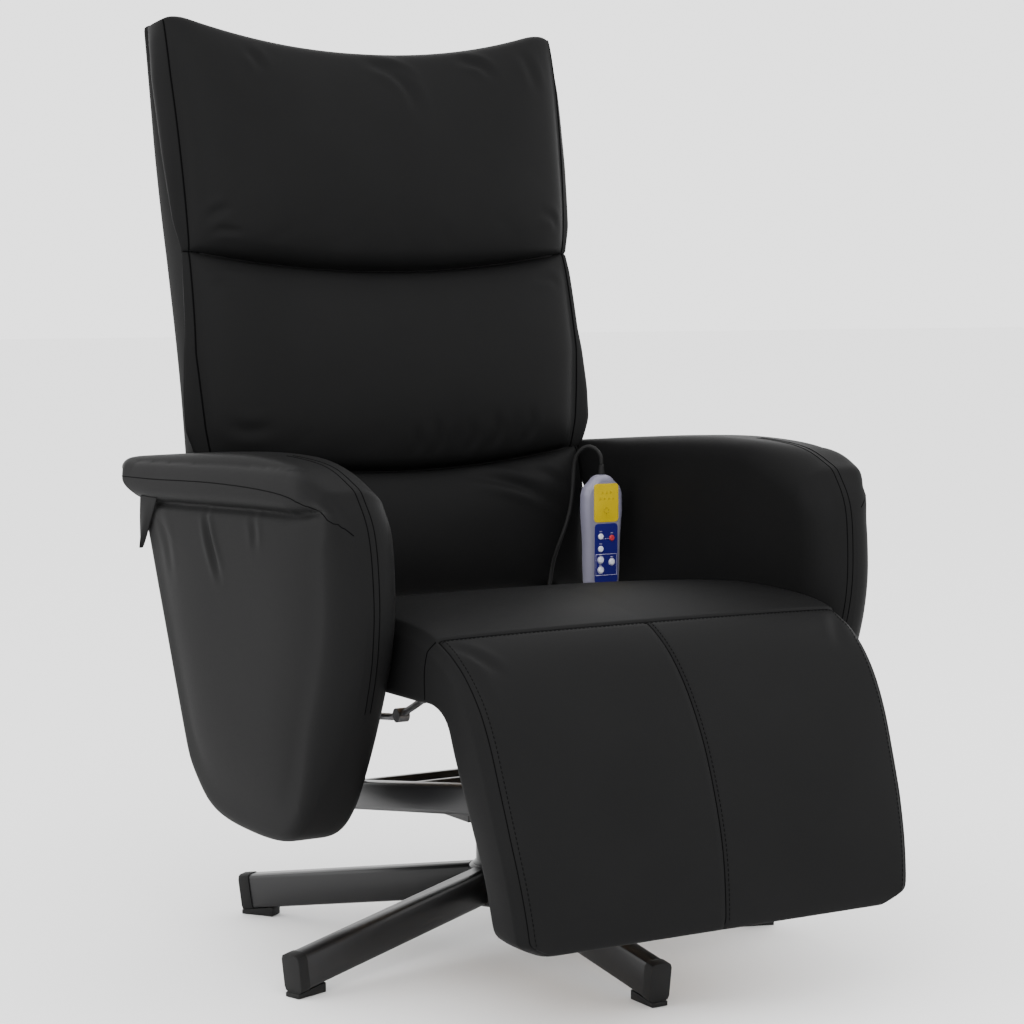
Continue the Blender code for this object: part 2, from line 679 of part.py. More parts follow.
def make_back_shell():
    """The rear cover: a pan that is open to the front and below."""
    bm = bmesh.new()
    low, high = Vector((-BACK_X, BACK_PAD + 0.0005, 0)), Vector((BACK_X, BACK_REAR, BACK_TOP))
    size = Matrix.Diagonal((*(high - low), 1))
    bmesh.ops.create_cube(bm, size=1, matrix=Matrix.Translation((low + high) / 2) @ size)
    open_faces = [face for face in bm.faces if face.normal.y < -0.5 or face.normal.z < -0.5]
    bmesh.ops.delete(bm, geom=open_faces, context="FACES")
    shell = part("back_shell", to_mesh(bm), "leather", BACKREST, BACK)
    bevel(shell, 0.014, 3)
    wall = shell.modifiers.new("wall", "SOLIDIFY")
    wall.thickness = SHELL_T
    wall.offset = -1


def on_back(height, rear):
    """A point of the backrest's frame in the side view of the chair."""
    point = BACK @ Vector((0, rear, height))
    return (point.y, point.z)


def make_hinge_arm(side, sign):
    """A plate behind the back board, with the hinge's hole and a tail that drives the footrest's rod."""
    front = BACK_PAD + 0.0005 + BOARD_T + 0.0005
    rear = BACK_REAR - SHELL_T - 0.001
    pin, tail = (HINGE_Y, HINGE_Z), (HINGE_Y, HINGE_Z - TAIL)
    outline = [on_back(0.250, front), on_back(0.250, rear), on_back(0.045, rear)]
    outline += circle(0.017, pin, -20, -50, 2)
    outline += circle(0.009, tail, 0, -180, 6)
    outline += circle(0.017, pin, 220, 80, 6)
    outline += [on_back(0.042, front)]
    low, high = span(sign, ARM_PLATE_X, ARM_PLATE_T)
    plate = part(f"hinge_arm_{side}", flat_mesh([outline], low, high), "powder_coat", BACKREST, SIDE)
    hole = rod_mesh(HINGE_PIN_R + RUNNING, low - 0.01, high + 0.01)
    combine(plate, cutter(f"hinge_hole_{side}", hole, Matrix.Translation((0, *pin)) @ SIDE))
    inner = ROD_X - ROD_D / 2 - 0.001
    stub_low, stub_high = span(sign, inner, ARM_PLATE_X + 0.001 - inner)
    stub_at = Matrix.Translation((0, *tail)) @ SIDE
    stub = cutter(f"tail_pin_{side}", rod_mesh(TAIL_PIN_R, stub_low, stub_high), stub_at)
    combine(plate, stub, "UNION")


# The footrest and its rods

def footrest_rear():
    """The footrest's rear line, from its top down."""
    return through([
        (-0.3365, 0.290), (-0.3505, 0.2585), (-0.3655, 0.220), (-0.3835, 0.170), (-0.3905, 0.128),
    ], 3)


def make_footrest():
    rear = footrest_rear()
    front = through([
        (-0.3400, 0.3010), (-0.3600, 0.3110), (-0.3780, 0.3165), (-0.3935, 0.3125),
        (-0.4125, 0.2690), (-0.4265, 0.2290), (-0.4390, 0.1850), (-0.4485, 0.1500),
        (-FOOT_REACH, 0.1210), (-0.4450, 0.1010), (-0.4205, 0.0955), (-0.3990, 0.1050),
    ], 3)
    section = front + rear[::-1]
    cushion = part("footrest_cushion", flat_mesh([section], -FOOT_X, FOOT_X), "leather", FOOTREST, SIDE)
    bevel(cushion, 0.012, 2, 60)
    strip = offset_line(rear, -GAP - 0.0002) + offset_line(rear, -GAP - FOOT_BOARD_T)[::-1]
    part("footrest_board", flat_mesh([strip], -FOOT_BOARD_X, FOOT_BOARD_X), "plywood", FOOTREST, SIDE)
    for side, sign in sides():
        make_footrest_bracket(side, sign)
        make_rod(side, sign)


def make_footrest_bracket(side, sign):
    """A plate on the footrest board's edge, with the hinge's eye and the ear that the rod pushes."""
    rear = footrest_rear()[:9]
    hinge, ear = (FOOT_HINGE_Y, FOOT_HINGE_Z), (EAR_Y, EAR_Z)
    outline = circle(FOOT_EYE_R, hinge, 20, 270, 8)
    outline += [(-0.346, 0.3095), (-0.333, 0.2995)]
    outline += offset_line(rear, -GAP - 0.0002)
    outline += offset_line(rear, -GAP - FOOT_BOARD_T)[::-1][:-2]
    outline += circle(0.008, ear, -60, 50, 5)
    low, high = span(sign, BRACKET_X, LUG_T)
    plate = part(f"footrest_bracket_{side}", flat_mesh([outline], low, high), "powder_coat", FOOTREST, SIDE)
    hole = rod_mesh(FOOT_PIN_R + GAP, low - 0.01, high + 0.01)
    combine(plate, cutter(f"footrest_hole_{side}", hole, Matrix.Translation((0, *hinge)) @ SIDE))


def make_rod(side, sign):
    """A bent rod from the tail of the hinge arm to the footrest's ear, with an eye at each end."""
    x = sign * ROD_X
    tail = Vector((x, HINGE_Y, HINGE_Z - TAIL))
    ear = Vector((x, EAR_Y, EAR_Z))
    path = [
        tail, (x, 0.100, 0.281), (x, -0.060, 0.286), (x, -0.120, 0.297), (x, -0.165, 0.318),
        (x, -0.200, 0.3235), (x, -0.270, 0.3160), ear,
    ]
    rod = part(f"drive_rod_{side}", tube_mesh(through(path, 2), ROD_D), "steel", RODS)
    half_eye = ROD_D / 2 + 0.0004
    for name, at, outer, inner in (("tail", tail, 0.009, TAIL_PIN_R + GAP), ("ear", ear, 0.0075, 0.0035)):
        centre = Matrix.Translation(at) @ SIDE
        eye = cutter(f"rod_{name}_eye_{side}", rod_mesh(outer, -half_eye, half_eye), centre)
        combine(rod, eye, "UNION")
        combine(rod, cutter(f"rod_{name}_hole_{side}", rod_mesh(inner, -ROD_D, ROD_D, 16), centre))
    knuckle = Matrix.Translation((x, -0.118, 0.2955)) @ SIDE
    combine(rod, cutter(f"rod_knuckle_{side}", rod_mesh(0.0078, -0.0065, 0.0065), knuckle), "UNION")


# The handset

# Each key's place across the handset and above its foot
KEYS = (
    ("key_power", 0.008, 0.0591, "red_key"), ("key_mode", -0.008, 0.0614, "white_key"),
    ("key_speed", -0.008, 0.0462, "white_key"), ("key_back", -0.008, 0.0327, "white_key"),
    ("key_seat", 0.008, 0.0297, "white_key"), ("key_heat", -0.008, 0.0203, "white_key"),
)


def make_handset():
    """A handset that stands between the seat cushion and the backrest, facing forward."""
    half_side = [(0.012, 0), (0.0200, 0.006), (0.0205, 0.0235), (0.0215, 0.0585),
                 (0.0235, 0.0985), (0.0225, 0.1215), (0.0150, 0.1335)]
    half = [(u, HANDSET_LOW + v) for u, v in through(half_side, 2)] + [(0.005, HANDSET_HIGH)]
    outline = half + [(-u, v) for u, v in half[::-1]]
    at = Matrix.Translation((HANDSET_X, HANDSET_Y, 0)) @ FRONT
    body = part("handset_body", flat_mesh([outline], -HANDSET_T, 0), "handset_shell", SEAT, at)
    bevel(body, 0.004, 2, 60)
    boot_at = Matrix.Translation((HANDSET_X, HANDSET_Y + HANDSET_T / 2, HANDSET_HIGH - 0.001))
    boot = cutter("handset_boot", cone_mesh(0.0045, 0.0030, BOOT_HIGH + 0.001), boot_at)
    combine(body, boot, "UNION")

    deep = PANEL_T - PANEL_PROUD
    for name, low, high, wide, slot in (
        ("handset_display", 0.0790, 0.1260, 0.0350, "display"),
        ("handset_keypad", 0.0040, 0.0770, 0.0330, "keypad"),
    ):
        height, middle = high - low, HANDSET_LOW + (low + high) / 2
        around = Matrix.Translation((0, middle, 0))
        recess = rounded_rect(wide + 2 * GAP, height + 2 * GAP, 0.004)
        panel = rounded_rect(wide, height, 0.004)
        combine(body, cutter(name + "_recess", flat_mesh([recess], -deep - GAP, 0.01), at @ around))
        panel_part = part(name, flat_mesh([panel], -deep, PANEL_PROUD), slot, SEAT, at @ around)
        if name == "handset_keypad":
            keypad = panel_part

    for name, x, above, slot in KEYS:
        z = HANDSET_LOW + above
        key_at = Matrix.Translation((HANDSET_X + x, HANDSET_Y, z)) @ FRONT
        hole = cutter(name + "_hole", rod_mesh(KEY_R + RUNNING, -KEY_DEEP - 0.002, 0.01, 16), key_at)
        combine(body, hole)
        combine(keypad, hole)
        press = pivot(name + "_press", HANDSET_X + x, HANDSET_Y, z)
        turned(name, [
            (0, KEY_PROUD), (KEY_R - 0.0008, KEY_PROUD), (KEY_R, KEY_PROUD - 0.0007),
            (KEY_R, -KEY_DEEP), (0, -KEY_DEEP),
        ], slot, press, key_at, steps=16)


def cone_mesh(low_r, high_r, height):
    bm = bmesh.new()
    bmesh.ops.create_cone(
        bm, cap_ends=True, segments=16, radius1=low_r, radius2=high_r, depth=height,
        matrix=Matrix.Translation((0, 0, height / 2)),
    )
    return to_mesh(bm)


def make_cord():
    """The handset's lead, as a round wire on a smooth curve through its points."""
    part("handset_cord", tube_mesh(through(CORD_POINTS, 2), CORD_D), "rubber", SEAT)


make_base()
make_swivel()
make_mechanism()
make_seat()
make_arms()
make_control_box()
make_backrest()
make_footrest()
make_handset()
make_cord()
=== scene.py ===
"""Upholstery, finishes and studio for a reclining massage chair. Metres, +Z up, the chair faces -Y."""

import json
import math

import bmesh
import bpy
import numpy as np
from bpy.props import FloatProperty, FloatVectorProperty, PointerProperty
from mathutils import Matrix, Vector
from mathutils.bvhtree import BVHTree


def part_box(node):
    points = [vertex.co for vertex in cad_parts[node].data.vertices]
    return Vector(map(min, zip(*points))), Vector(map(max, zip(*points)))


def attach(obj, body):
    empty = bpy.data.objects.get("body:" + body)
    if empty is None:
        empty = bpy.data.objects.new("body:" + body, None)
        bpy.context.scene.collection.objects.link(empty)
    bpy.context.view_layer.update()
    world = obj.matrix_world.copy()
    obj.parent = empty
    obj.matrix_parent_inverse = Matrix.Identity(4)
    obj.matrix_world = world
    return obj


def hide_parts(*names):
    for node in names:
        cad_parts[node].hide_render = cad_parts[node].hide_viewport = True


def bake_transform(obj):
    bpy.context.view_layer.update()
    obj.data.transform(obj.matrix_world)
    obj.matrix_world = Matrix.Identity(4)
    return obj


bl_info = {
    "name": "Massage chair",
    "version": (1, 0, 0),
    "blender": (4, 5, 0),
    "location": "3D View > Sidebar > Massage chair",
    "description": "Upholstery, finishes and studio for a reclining massage chair",
    "category": "Object",
}

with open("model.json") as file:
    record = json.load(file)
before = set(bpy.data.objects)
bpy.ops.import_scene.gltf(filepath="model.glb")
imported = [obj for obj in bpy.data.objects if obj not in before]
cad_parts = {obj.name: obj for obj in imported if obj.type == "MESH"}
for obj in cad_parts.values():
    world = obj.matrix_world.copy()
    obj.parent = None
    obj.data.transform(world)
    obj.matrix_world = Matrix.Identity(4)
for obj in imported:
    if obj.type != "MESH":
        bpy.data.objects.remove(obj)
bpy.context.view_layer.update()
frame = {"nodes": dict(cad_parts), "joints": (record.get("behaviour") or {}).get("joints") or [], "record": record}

# Places that come from the frame

JOINTS = {joint["name"]: joint for joint in frame["joints"]}
AXIS_Y = JOINTS["seat_swivel"]["pos_m"][1]
HINGE = np.array(JOINTS["backrest_recline"]["pos_m"])
KNEE = np.array(JOINTS["footrest_lift"]["pos_m"])
LEAN = JOINTS["lumbar_weight_spin"]["axis"]
BACK_UP = np.array((0.0, LEAN[2], -LEAN[1]))
BACK_FRONT = np.array(LEAN)
ARM_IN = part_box("arm_left")[0].x
ARM_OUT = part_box("arm_left")[1].x
SEAT_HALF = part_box("seat_cushion")[1].x
BACK_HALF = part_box("back_shell")[1].x
HANDSET_LOW, HANDSET_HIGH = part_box("handset_body")
BOARD_LOW, BOARD_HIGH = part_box("seat_board")
SLOTS = {row["node"]: row["material_slot"] for row in frame["record"]["subparts"]}
BODIES = {node: body for body, nodes in frame["record"]["behaviour"]["bodies"].items() for node in nodes}

# The handset's lead, from its outlet under the seat to the boot on the handset, in the chair frame,
# whose origin is on the swivel axis
LEAD_POINTS = [
    (0.0500, 0.1256, 0.3200), (0.0500, 0.1360, 0.3195), (0.0540, 0.1480, 0.3170),
    (0.0660, 0.1580, 0.3130), (0.0850, 0.1640, 0.3090), (0.1080, 0.1680, 0.3090),
    (0.1300, 0.1705, 0.3150), (0.1500, 0.1708, 0.3280), (0.1640, 0.1708, 0.3460),
    (0.1720, 0.1708, 0.3660), (0.1755, 0.1708, 0.3860), (0.1770, 0.1690, 0.4020),
    (0.1770, 0.1640, 0.4160), (0.1780, 0.1580, 0.4300), (0.1820, 0.1535, 0.4460),
    (0.1880, 0.1515, 0.4640), (0.1935, 0.1515, 0.4840), (0.1965, 0.1520, 0.5050),
    (0.1975, 0.1515, 0.5250), (0.1985, 0.1490, 0.5410), (0.2025, 0.1430, 0.5525),
    (0.2095, 0.1355, 0.5570), (0.2160, 0.1285, 0.5530), (0.2187, 0.1230, 0.5455),
    (0.2190, 0.1215, 0.5356),
]

# Outlines in the side view, as (y, z) in the chair frame
ARM_REAR = [(0.112, 0.222), (0.146, 0.300), (0.194, 0.410), (0.233, 0.495), (0.262, 0.5155),
            (0.287, 0.5265), (0.298, 0.540)]
ARM_TOP = [(0.298, 0.540), (0.291, 0.553), (0.210, 0.561), (0.070, 0.571), (-0.060, 0.576), (-0.170, 0.570),
           (-0.232, 0.549)]
ARM_FRONT = [(-0.232, 0.549), (-0.258, 0.510), (-0.266, 0.450), (-0.263, 0.400), (-0.248, 0.345),
             (-0.215, 0.270), (-0.180, 0.208)]
ARM_BOTTOM = [(-0.180, 0.208), (-0.136, 0.176), (-0.045, 0.169), (0.052, 0.179), (0.112, 0.222)]
ARM_MIDDLE = (-0.030, 0.400)
ROLL_CREASE = [(0.310, 0.515), (0.240, 0.510), (0.080, 0.5165), (-0.060, 0.522), (-0.160, 0.525),
               (-0.215, 0.531)]
# The seat's and footrest's leather, outer and inner line, from the seat's rear to the footrest's bottom
SKIN_OUTER = [(0.1625, 0.362), (0.150, 0.3725), (0.120, 0.3785), (0.060, 0.388), (-0.030, 0.4035),
              (-0.130, 0.4140), (-0.220, 0.4135), (-0.285, 0.4060), (-0.335, 0.3840), (-0.370, 0.3515),
              (-0.394, 0.3115), (-0.414, 0.2600), (-0.431, 0.2110), (-0.443, 0.1680), (-0.4505, 0.1250),
              (-0.4455, 0.1065)]
SKIN_INNER = [(0.1610, 0.3500), (0.146, 0.3388), (0.116, 0.3362), (0.060, 0.3362), (-0.030, 0.3362),
              (-0.130, 0.3362), (-0.210, 0.3362), (-0.262, 0.3362), (-0.300, 0.3362), (-0.3235, 0.3235),
              (-0.3370, 0.2915), (-0.3520, 0.2560), (-0.3660, 0.2190), (-0.3825, 0.1740), (-0.3920, 0.1270),
              (-0.4010, 0.1060)]


# Sizes and colours that a user would change

def size(name, description, default):
    return FloatProperty(name=name, description=description, default=default, unit="LENGTH")


def colour(name, description, default):
    return FloatVectorProperty(name=name, description=description, default=default, subtype="COLOR", size=3)


class ChairSizes(bpy.types.PropertyGroup):
    """How full the upholstery is and how large its seams are"""
    head_crown: size("Head crown", "How far the head cushion stands in front of the hinge line", 0.050)
    middle_crown: size("Middle crown", "How far the middle cushion stands in front of it", 0.043)
    lumbar_crown: size("Lumbar crown", "How far the lumbar cushion stands in front of it", 0.036)
    roll_bulge: size("Arm roll", "How far the roll on an arm overhangs its side", 0.0090)
    arm_round: size("Arm edge", "Radius of the arm's front edge", 0.030)
    stitch: size("Stitch length", "Length of one stitch", 0.0034)
    stitch_pitch: size("Stitch pitch", "Distance from one stitch to the next", 0.0050)
    thread: size("Thread", "Thickness of the sewing thread", 0.0007)
    swell: size("Swell", "The most that the simulated filling may push a cushion out", 0.008)


class ChairColours(bpy.types.PropertyGroup):
    """The colours of the chair's finishes"""
    leather: colour("Leather", "Faux leather", (0.0070, 0.0070, 0.0071))
    # The thread colour is also used as painted shadow in the backrest's front seams.
    thread: colour("Thread", "Sewing thread", (0.0010, 0.0010, 0.0011))
    metal: colour("Frame", "Powder coat of the frame", (0.006, 0.006, 0.0065))
    plastic: colour("Plastic", "Moulded black plastic", (0.012, 0.012, 0.0125))
    shell: colour("Handset", "Handset shell", (0.160, 0.155, 0.205))
    label: colour("Display", "Handset display", (0.50, 0.36, 0.0))
    keypad: colour("Keypad", "Handset keypad", (0.012, 0.009, 0.120))
    floor: colour("Floor", "Studio floor", (0.92, 0.92, 0.92))


def sizes():
    return bpy.context.scene.chair_sizes


def colours():
    return bpy.context.scene.chair_colours


# Shader maths as Python expressions

class Value:
    """A shader socket that takes part in sums"""

    def __init__(self, finish, socket):
        self.finish, self.socket = finish, socket

    def maths(self, operation, *values):
        return self.finish.node("ShaderNodeMath", {"operation": operation}, *values)

    def __add__(self, other):
        return self.maths("ADD", self, other)

    def __mul__(self, other):
        return self.maths("MULTIPLY", self, other)

    def __truediv__(self, other):
        return self.maths("DIVIDE", self, other)

    __radd__ = __add__
    __rmul__ = __mul__


class Finish:
    """One material, with a Principled shader and whatever feeds it"""

    def __init__(self, name, roughness=0.5, metallic=0.0, colour=(0.5, 0.5, 0.5), specular=0.5, coat=0.0):
        self.material = bpy.data.materials.new(name)
        self.material.use_nodes = True
        self.nodes = self.material.node_tree.nodes
        self.links = self.material.node_tree.links
        self.shader = self.nodes["Principled BSDF"]
        self.shader.inputs["Base Color"].default_value = (*colour, 1.0)
        self.shader.inputs["Roughness"].default_value = roughness
        self.shader.inputs["Metallic"].default_value = metallic
        self.shader.inputs["Specular IOR Level"].default_value = specular
        self.shader.inputs["Coat Weight"].default_value = coat

    def node(self, kind, settings=None, *values, output=0, **named):
        """A node with its settings, its sockets in order or by name, and one of its outputs."""
        made = self.nodes.new(kind)
        for key, value in (settings or {}).items():
            setattr(made, key, value)
        for socket, value in [*zip(made.inputs, values), *((made.inputs[k], v) for k, v in named.items())]:
            self.put(socket, value)
        return Value(self, made.outputs[output])

    def put(self, socket, value):
        if isinstance(value, Value):
            self.links.new(value.socket, socket)
        elif value is not None:
            socket.default_value = value

    def feed(self, name, value):
        self.put(self.shader.inputs[name], value)

    def place(self, stretch=(1.0, 1.0, 1.0)):
        """Object coordinates, stretched along each axis."""
        at = self.node("ShaderNodeTexCoord", output=3)
        return self.node("ShaderNodeMapping", None, at, Scale=stretch)

    def noise(self, at, scale, detail=2.0, rough=0.5):
        return self.node("ShaderNodeTexNoise", None, at, None, scale, detail, rough)

    def cells(self, at, scale):
        return self.node("ShaderNodeTexVoronoi", {"feature": "F1"}, at, None, scale)

    def blend(self, share, first, second):
        """A colour between two, by a share."""
        settings = {"data_type": "RGBA"}
        made = self.node("ShaderNodeMix", settings, share, output=2)
        mix = made.socket.node
        for socket, value in ((mix.inputs[6], first), (mix.inputs[7], second)):
            self.put(socket, value if isinstance(value, Value) else (*value, 1.0))
        return made

    def wave(self, value, pitch):
        """0 to 1 and back with every pitch of a value."""
        return self.node("ShaderNodeMath", {"operation": "PINGPONG"}, value, pitch / 2) / (pitch / 2)

    def bump(self, height, distance, strength=1.0):
        self.feed("Normal", self.node("ShaderNodeBump", None, strength, distance, Height=height))


def shade(base, factor):
    return tuple(min(1.0, channel * factor) for channel in base)


FINISHES = {}


def finish(name):
    """The material of that name, made when it is first asked for."""
    if name not in FINISHES:
        FINISHES[name] = FINISH_MAKERS[name]().material
    return FINISHES[name]


def leather_finish():
    """Fine-grained faux leather: small pebbles, faint pores and a soft change of gloss."""
    base = tuple(colours().leather)
    made = Finish("faux_leather", roughness=0.5, specular=0.024)
    at = made.place()
    pebbles = made.cells(at, 900.0)
    pores = made.noise(at, 420.0, 3.0)
    cloud = made.noise(at, 9.0, 3.0)
    made.feed("Base Color", made.blend(cloud, shade(base, 0.88), shade(base, 1.14)))
    made.feed("Roughness", cloud * 0.10 + pebbles * 0.10 + 0.40)
    made.bump(pebbles * -0.6 + pores * 0.5, 0.00016, 0.55)
    return made


def thread_finish():
    """Twisted polyester thread."""
    base = tuple(colours().thread)
    # This finish also colours the dark cords that paint the shadow in the backrest's front seams.
    made = Finish("sewing_thread", roughness=0.75, specular=0.02)
    twist = made.noise(made.place(), 2200.0, 1.0)
    made.feed("Base Color", made.blend(twist, shade(base, 0.7), shade(base, 1.5)))
    made.bump(twist, 0.0001, 0.4)
    return made


def powder_coat_finish():
    """Black powder coat: fine orange peel, with dust-dull patches."""
    base = tuple(colours().metal)
    made = Finish("powder_coat", roughness=0.34, specular=0.32)
    at = made.place()
    peel = made.noise(at, 700.0, 2.0)
    cloud = made.noise(at, 14.0, 4.0)
    made.feed("Base Color", made.blend(cloud, shade(base, 0.85), shade(base, 1.25)))
    made.feed("Roughness", cloud * 0.14 + 0.27)
    made.bump(peel, 0.00022, 0.35)
    return made


def plastic_finish(name, base, roughness, scale=1500.0, depth=0.00008):
    """Moulded plastic: a fine spark texture and a slow change of gloss."""
    made = Finish(name, roughness=roughness, specular=0.22)
    at = made.place()
    spark = made.noise(at, scale, 2.0)
    cloud = made.noise(at, 30.0, 2.0)
    made.feed("Base Color", made.blend(cloud, shade(base, 0.94), shade(base, 1.06)))
    made.feed("Roughness", cloud * 0.08 + (roughness - 0.04))
    made.bump(spark, depth, 0.5)
    return made


def rubber_finish():
    return plastic_finish("rubber", (0.005, 0.005, 0.005), 0.72, 900.0, 0.00015)


def steel_finish():
    """Black zinc-plated steel with drawn lines and a faint spangle."""
    made = Finish("zinc_steel", roughness=0.34, metallic=1.0)
    drawn = made.noise(made.place((1.0, 0.03, 1.0)), 1400.0, 2.0)
    spangle = made.cells(made.place(), 160.0)
    made.feed("Base Color", made.blend(spangle, (0.10, 0.10, 0.105), (0.17, 0.17, 0.175)))
    made.feed("Roughness", drawn * 0.18 + 0.26)
    made.bump(drawn, 0.00005, 0.3)
    return made


def plywood_finish():
    """Birch plywood: plies in the thickness and fine grain across the sheet."""
    made = Finish("plywood", roughness=0.68, specular=0.25)
    grain = made.noise(made.place((40.0, 3.0, 40.0)), 9.0, 4.0)
    at = made.node("ShaderNodeTexCoord", output=3)
    height = made.node("ShaderNodeSeparateXYZ", None, at, output=2)
    plies = made.wave(height, 0.0030)
    shade_of = made.blend(grain, (0.36, 0.245, 0.140), (0.50, 0.365, 0.225))
    made.feed("Base Color", made.blend(plies * 0.35, shade_of, (0.22, 0.140, 0.080)))
    made.feed("Roughness", grain * 0.2 + 0.56)
    made.bump(grain, 0.0003, 0.4)
    return made


def display_finish():
    """A printed label, a little uneven in colour from place to place."""
    base = tuple(colours().label)
    made = Finish("display", roughness=0.30, specular=0.2)
    cloud = made.noise(made.place((1.0, 1.0, 0.6)), 55.0, 2.0)
    made.feed("Base Color", made.blend(cloud, shade(base, 0.80), shade(base, 1.15)))
    made.bump(made.noise(made.place(), 1200.0), 0.00003, 0.3)
    return made


def keypad_finish():
    made = plastic_finish("keypad", tuple(colours().keypad), 0.30)
    made.shader.inputs["Coat Weight"].default_value = 0.3
    return made


def felt_finish():
    """Black spun felt under the seat and inside the back."""
    made = Finish("spun_felt", roughness=0.9, specular=0.15)
    at = made.place()
    fibres = made.noise(at, 520.0, 5.0, 0.7)
    made.feed("Base Color", made.blend(fibres, (0.006, 0.006, 0.006), (0.024, 0.024, 0.025)))
    made.bump(fibres, 0.0006, 0.6)
    return made


FINISH_MAKERS = {
    "leather": leather_finish,
    "thread": thread_finish,
    "powder_coat": powder_coat_finish,
    "black_plastic": lambda: plastic_finish("black_plastic", tuple(colours().plastic), 0.48, 1100.0, 0.00012),
    "rubber": rubber_finish,
    "steel": steel_finish,
    "plywood": plywood_finish,
    "handset_shell": lambda: plastic_finish("handset_shell", tuple(colours().shell), 0.38),
    "display": display_finish,
    "keypad": keypad_finish,
    "white_key": lambda: plastic_finish("white_key", (0.66, 0.67, 0.76), 0.34),
    "red_key": lambda: plastic_finish("red_key", (0.42, 0.03, 0.045), 0.34),
    "print": lambda: plastic_finish("label_print", (0.62, 0.62, 0.72), 0.45),
    "dark_print": lambda: plastic_finish("display_print", (0.30, 0.21, 0.012), 0.4),
    "felt": felt_finish,
}


# Small sums on arrays of points

def chair(points):
    """Points of the chair frame, in the row frame."""
    return np.asarray(points, float) + (0, AXIS_Y, 0)


def on_back(x, up, front):
    """Points of the backrest: across, up from the hinge along the back, and in front of the hinge line."""
    x, up, front = np.broadcast_arrays(x, up, front)
    flat = np.stack([x, np.zeros_like(x), np.zeros_like(x)], -1)
    return HINGE + flat + up[..., None] * BACK_UP + front[..., None] * BACK_FRONT


def in_back(points):
    """The same three numbers for points of the row frame."""
    away = points - HINGE
    return points[:, 0], away @ BACK_UP, away @ BACK_FRONT


def smooth(x, low, high):
    """0 below low, 1 above high, and a soft step between."""
    share = np.clip((np.asarray(x, float) - low) / (high - low), 0, 1)
    return share * share * (3 - 2 * share)


def through(points, count):
    """Evenly spaced points on a smooth curve through the given ones."""
    points = np.asarray(points, float)
    ends = np.vstack([2 * points[0] - points[1], points, 2 * points[-1] - points[-2]])
    t = np.linspace(0, 1, 12, endpoint=False)[:, None]
    a, b, c, d = (ends[k : k + len(points) - 1, None] for k in range(4))
    line = (2 * b + (c - a) * t + (2 * a - 5 * b + 4 * c - d) * t**2 + (3 * b - a - 3 * c + d) * t**3) / 2
    line = np.vstack([line.reshape(-1, points.shape[1]), points[-1]])
    return resample(line, count)


def run_of(line):
    """How far along a line each of its points is."""
    return np.r_[0, np.cumsum(np.linalg.norm(np.diff(line, axis=0), axis=1))]


def resample(line, count):
    steps = run_of(line)
    return sample(line, steps, np.linspace(0, steps[-1], count))


def sample(line, steps, wanted):
    """Points of a line where its steps have the wanted values."""
    return np.stack([np.interp(wanted, steps, line[:, k]) for k in range(line.shape[1])], -1)


def stations(count, marks=(), close=0.004):
    """Evenly spaced places from -1 to 1, with three close ones at each mark."""
    even = np.linspace(-1, 1, count + 1)
    for mark in marks:
        even = even[np.abs(even - mark) > 1.7 * close]
    fine = [mark + side * close for mark in marks for side in (-1, 0, 1)]
    return np.unique(np.r_[even, fine])


# Modelling with Blender's operators

def deselect():
    if bpy.context.object and bpy.context.object.mode != "OBJECT":
        bpy.ops.object.mode_set(mode="OBJECT")
    bpy.ops.object.select_all(action="DESELECT")


def activate(obj):
    deselect()
    obj.select_set(True)
    bpy.context.view_layer.objects.active = obj


def points_of(obj):
    points = np.empty(len(obj.data.vertices) * 3, np.float32)
    obj.data.vertices.foreach_get("co", points)
    return points.reshape(-1, 3).astype(float)


def move_points(obj, points):
    obj.data.vertices.foreach_set("co", np.ascontiguousarray(points, np.float32).ravel())
    obj.data.update()


def normals_of(obj):
    found = np.empty(len(obj.data.vertices) * 3, np.float32)
    obj.data.vertex_normals.foreach_get("vector", found)
    return found.reshape(-1, 3).astype(float)


def apply_modifiers(obj):
    activate(obj)
    for modifier in list(obj.modifiers):
        bpy.ops.object.modifier_apply(modifier=modifier.name)


def subdivide(obj, levels=1):
    finer = obj.modifiers.new("finer", "SUBSURF")
    finer.levels = finer.render_levels = levels
    apply_modifiers(obj)


def face_out(obj):
    """Every face turned outwards."""
    activate(obj)
    bpy.ops.object.mode_set(mode="EDIT")
    bpy.ops.mesh.select_all(action="SELECT")
    bpy.ops.mesh.normals_make_consistent(inside=False)
    bpy.ops.object.mode_set(mode="OBJECT")


def settle(obj, body, slot, *replaced, material=None, angle=None):
    """A finished piece: its origin, its finish, the nodes that it stands for and what it rides on."""
    activate(obj)
    bpy.ops.object.transform_apply(location=True, rotation=True, scale=True)
    if obj.type == "MESH":
        if angle is None:
            bpy.ops.object.shade_smooth()
        else:
            bpy.ops.object.shade_smooth_by_angle(angle=math.radians(angle))
    obj.data.materials.clear()
    obj.data.materials.append(finish(material or slot))
    if replaced:
        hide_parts(*replaced)
    if body:
        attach(obj, body)
    return obj


